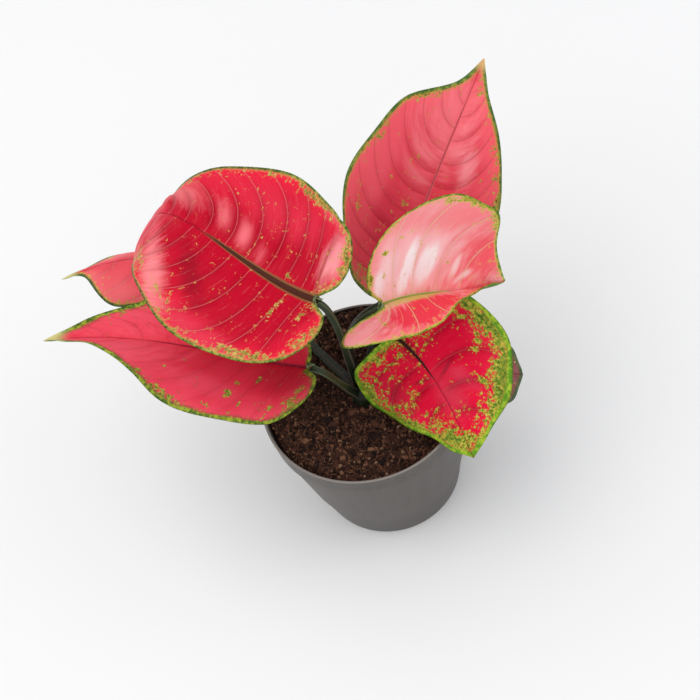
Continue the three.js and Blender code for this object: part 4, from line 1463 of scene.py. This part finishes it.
# %% Finish of the petioles
def petiole_finish():
    f = Finish("petiole_green", Specular_IOR_Level=0.3)
    along, around = f.number("along"), f.number("around")
    fleck = f.noise(f.position(), 420, detail=4, roughness=0.65)
    length = f.noise(f.join(around * 18, along * 3, 0.0), 1.0, detail=3)
    lip = f.fall(abs(abs(around - 0.5) - LIP_AT), 0.012, 0.03)
    # darker towards the foot: painted shade under the leaves, lighter towards the blade
    green = f.layered(
        f.blend(f.rise(along, 0.1, 1.0), "151d0e", "27331c"),
        (f.rise(length, 0.4, 0.7) * 0.40, "36452a"),
        (f.rise(fleck, 0.56, 0.68) * 0.25, "6c7650"),
        (lip * f.fall(along, 0.55, 0.8) * 0.22, "b48f86"),
        (lip * f.rise(along, 0.55, 0.8) * 0.22, "8c9a66"),
    )
    f.surface(green, 0.42 + fleck * 0.12, fleck * 0.04 + length * 0.08)
    return f


# %% Sweep the petioles
CHANNEL_DEPTH = 0.22
CHANNEL_TURNS = {
    "front_left": 1.2, "low_left": 0.4, "back_left": 2.0, "upright": 2.6, "front_right": 1.0, "drooping": 0.2,
    "low_right": 3.0,
}

stalk = petiole_finish()
sweep = petiole_pattern(stalk.material)
for name, blade in blades.items():
    points, length = petiole_path(blade)
    path = path_object("path_" + name, points)
    obj = grown("petiole_" + name + "_stalk", path, sweep, {
        "Foot radius": PETIOLE_FOOT * MM, "Top radius": PETIOLE_TOP * MM, "Channel": CHANNEL_DEPTH,
        "Turn": CHANNEL_TURNS[name],
    })
    bpy.data.objects.remove(path)
    obj.data.shade_smooth()
    stand_for(obj, "petiole_green", "petiole_" + name)
    print(f"petiole of {name}: {length:.0f} mm")

# %% [markdown]
# The crown
#
# All the petioles grow from one short stem that disappears into the soil. Old leaf bases have left a
# few rings on it, so its profile is a gentle bulge with waves, turned about an axis of its own and
# rounded off at the top. It shares the petioles' finish, so it stores the same two numbers.

# %% Turn the crown
CROWN_CENTRE = (0.0, -1.0)
CROWN_RADIUS = 7.5
CROWN_FOOT = 62.0
CROWN_TOP = 105.0
CROWN_TIP_RADIUS = 2.6
CROWN_SEGMENTS = 64


def crown_profile():
    heights = np.linspace(CROWN_FOOT + 1, CROWN_TOP - 1, 44)
    rounding = np.clip((heights - CROWN_TOP + 9) / 8, 0, 1) ** 2 * 3.4
    radius = CROWN_RADIUS + 0.3 * np.sin(heights * 0.9) - rounding
    foot = [(0, CROWN_FOOT), (CROWN_RADIUS - 1.7, CROWN_FOOT)]
    return foot + list(zip(radius, heights)) + [(CROWN_TIP_RADIUS, CROWN_TOP), (0, CROWN_TOP + 0.5)]


crown = mesh_object("crown_stem", *turned(crown_profile(), CROWN_SEGMENTS, CROWN_CENTRE), stalk)
# along at zero gives the crown the petioles' darkest green, their painted shade at the foot
for label in ("along", "around"):
    store(crown, label, np.zeros(len(crown.data.vertices)))
stand_for(crown, "petiole_green", "crown")

# %% [markdown]
# Floor and light
#
# The plant stands on one large pale sheet in a broad soft light from the upper left. A wide area lamp
# stands beside the camera at the upper left, a weaker one fills from the right, and a pale world
# lights the rest evenly, so that shadows stay faint.

# %% The floor
FLOOR_REACH = 4000

paper = Finish("pale_floor", Specular_IOR_Level=0.2)
mottling = paper.noise(paper.position(), 3.0, detail=2)
paper.surface(paper.blend(mottling, "efeeec", "f2f1ef"), 0.9)
corners = [(x * FLOOR_REACH, y * FLOOR_REACH, 0) for x, y in ((-1, -1), (1, -1), (1, 1), (-1, 1))]
floor = mesh_object("floor", corners, [(0, 1, 2, 3)], paper, smooth=False)
print("floor:", 2 * FLOOR_REACH * MM, "m on a side")


# %% The lamps
def lamp(name, direction, distance, size, power, colour):
    z = unit(direction)
    x = unit(np.cross(upward, z))
    light = bpy.data.lights.new(name, "AREA")
    light.shape = "DISK"
    light.size = size
    light.energy = power
    light.color = colour
    obj = new_object(name, light)
    obj.matrix_world = facing(x, np.cross(z, x), z, RIM_CENTRE + z * distance)
    print(name, "at", np.round(RIM_CENTRE + z * distance))


lamp("key", back * 0.70 - right * 0.60 + upward * 0.36, 1500, 1.9, 12.2, (1.0, 0.99, 0.975))
lamp("fill", back * 0.55 + right * 0.70 + upward * 0.30, 1800, 1.8, 9.0, (0.98, 0.99, 1.0))

# %% The world
WORLD_COLOUR = (0.93, 0.95, 1.0, 1.0)
WORLD_STRENGTH = 0.74

world = bpy.data.worlds.new("soft_room")
world.use_nodes = True
room = world.node_tree.nodes["Background"].inputs
room["Color"].default_value = WORLD_COLOUR
room["Strength"].default_value = WORLD_STRENGTH
bpy.context.scene.world = world
bpy.context.scene.view_settings.view_transform = "Standard"
print("world strength:", WORLD_STRENGTH)
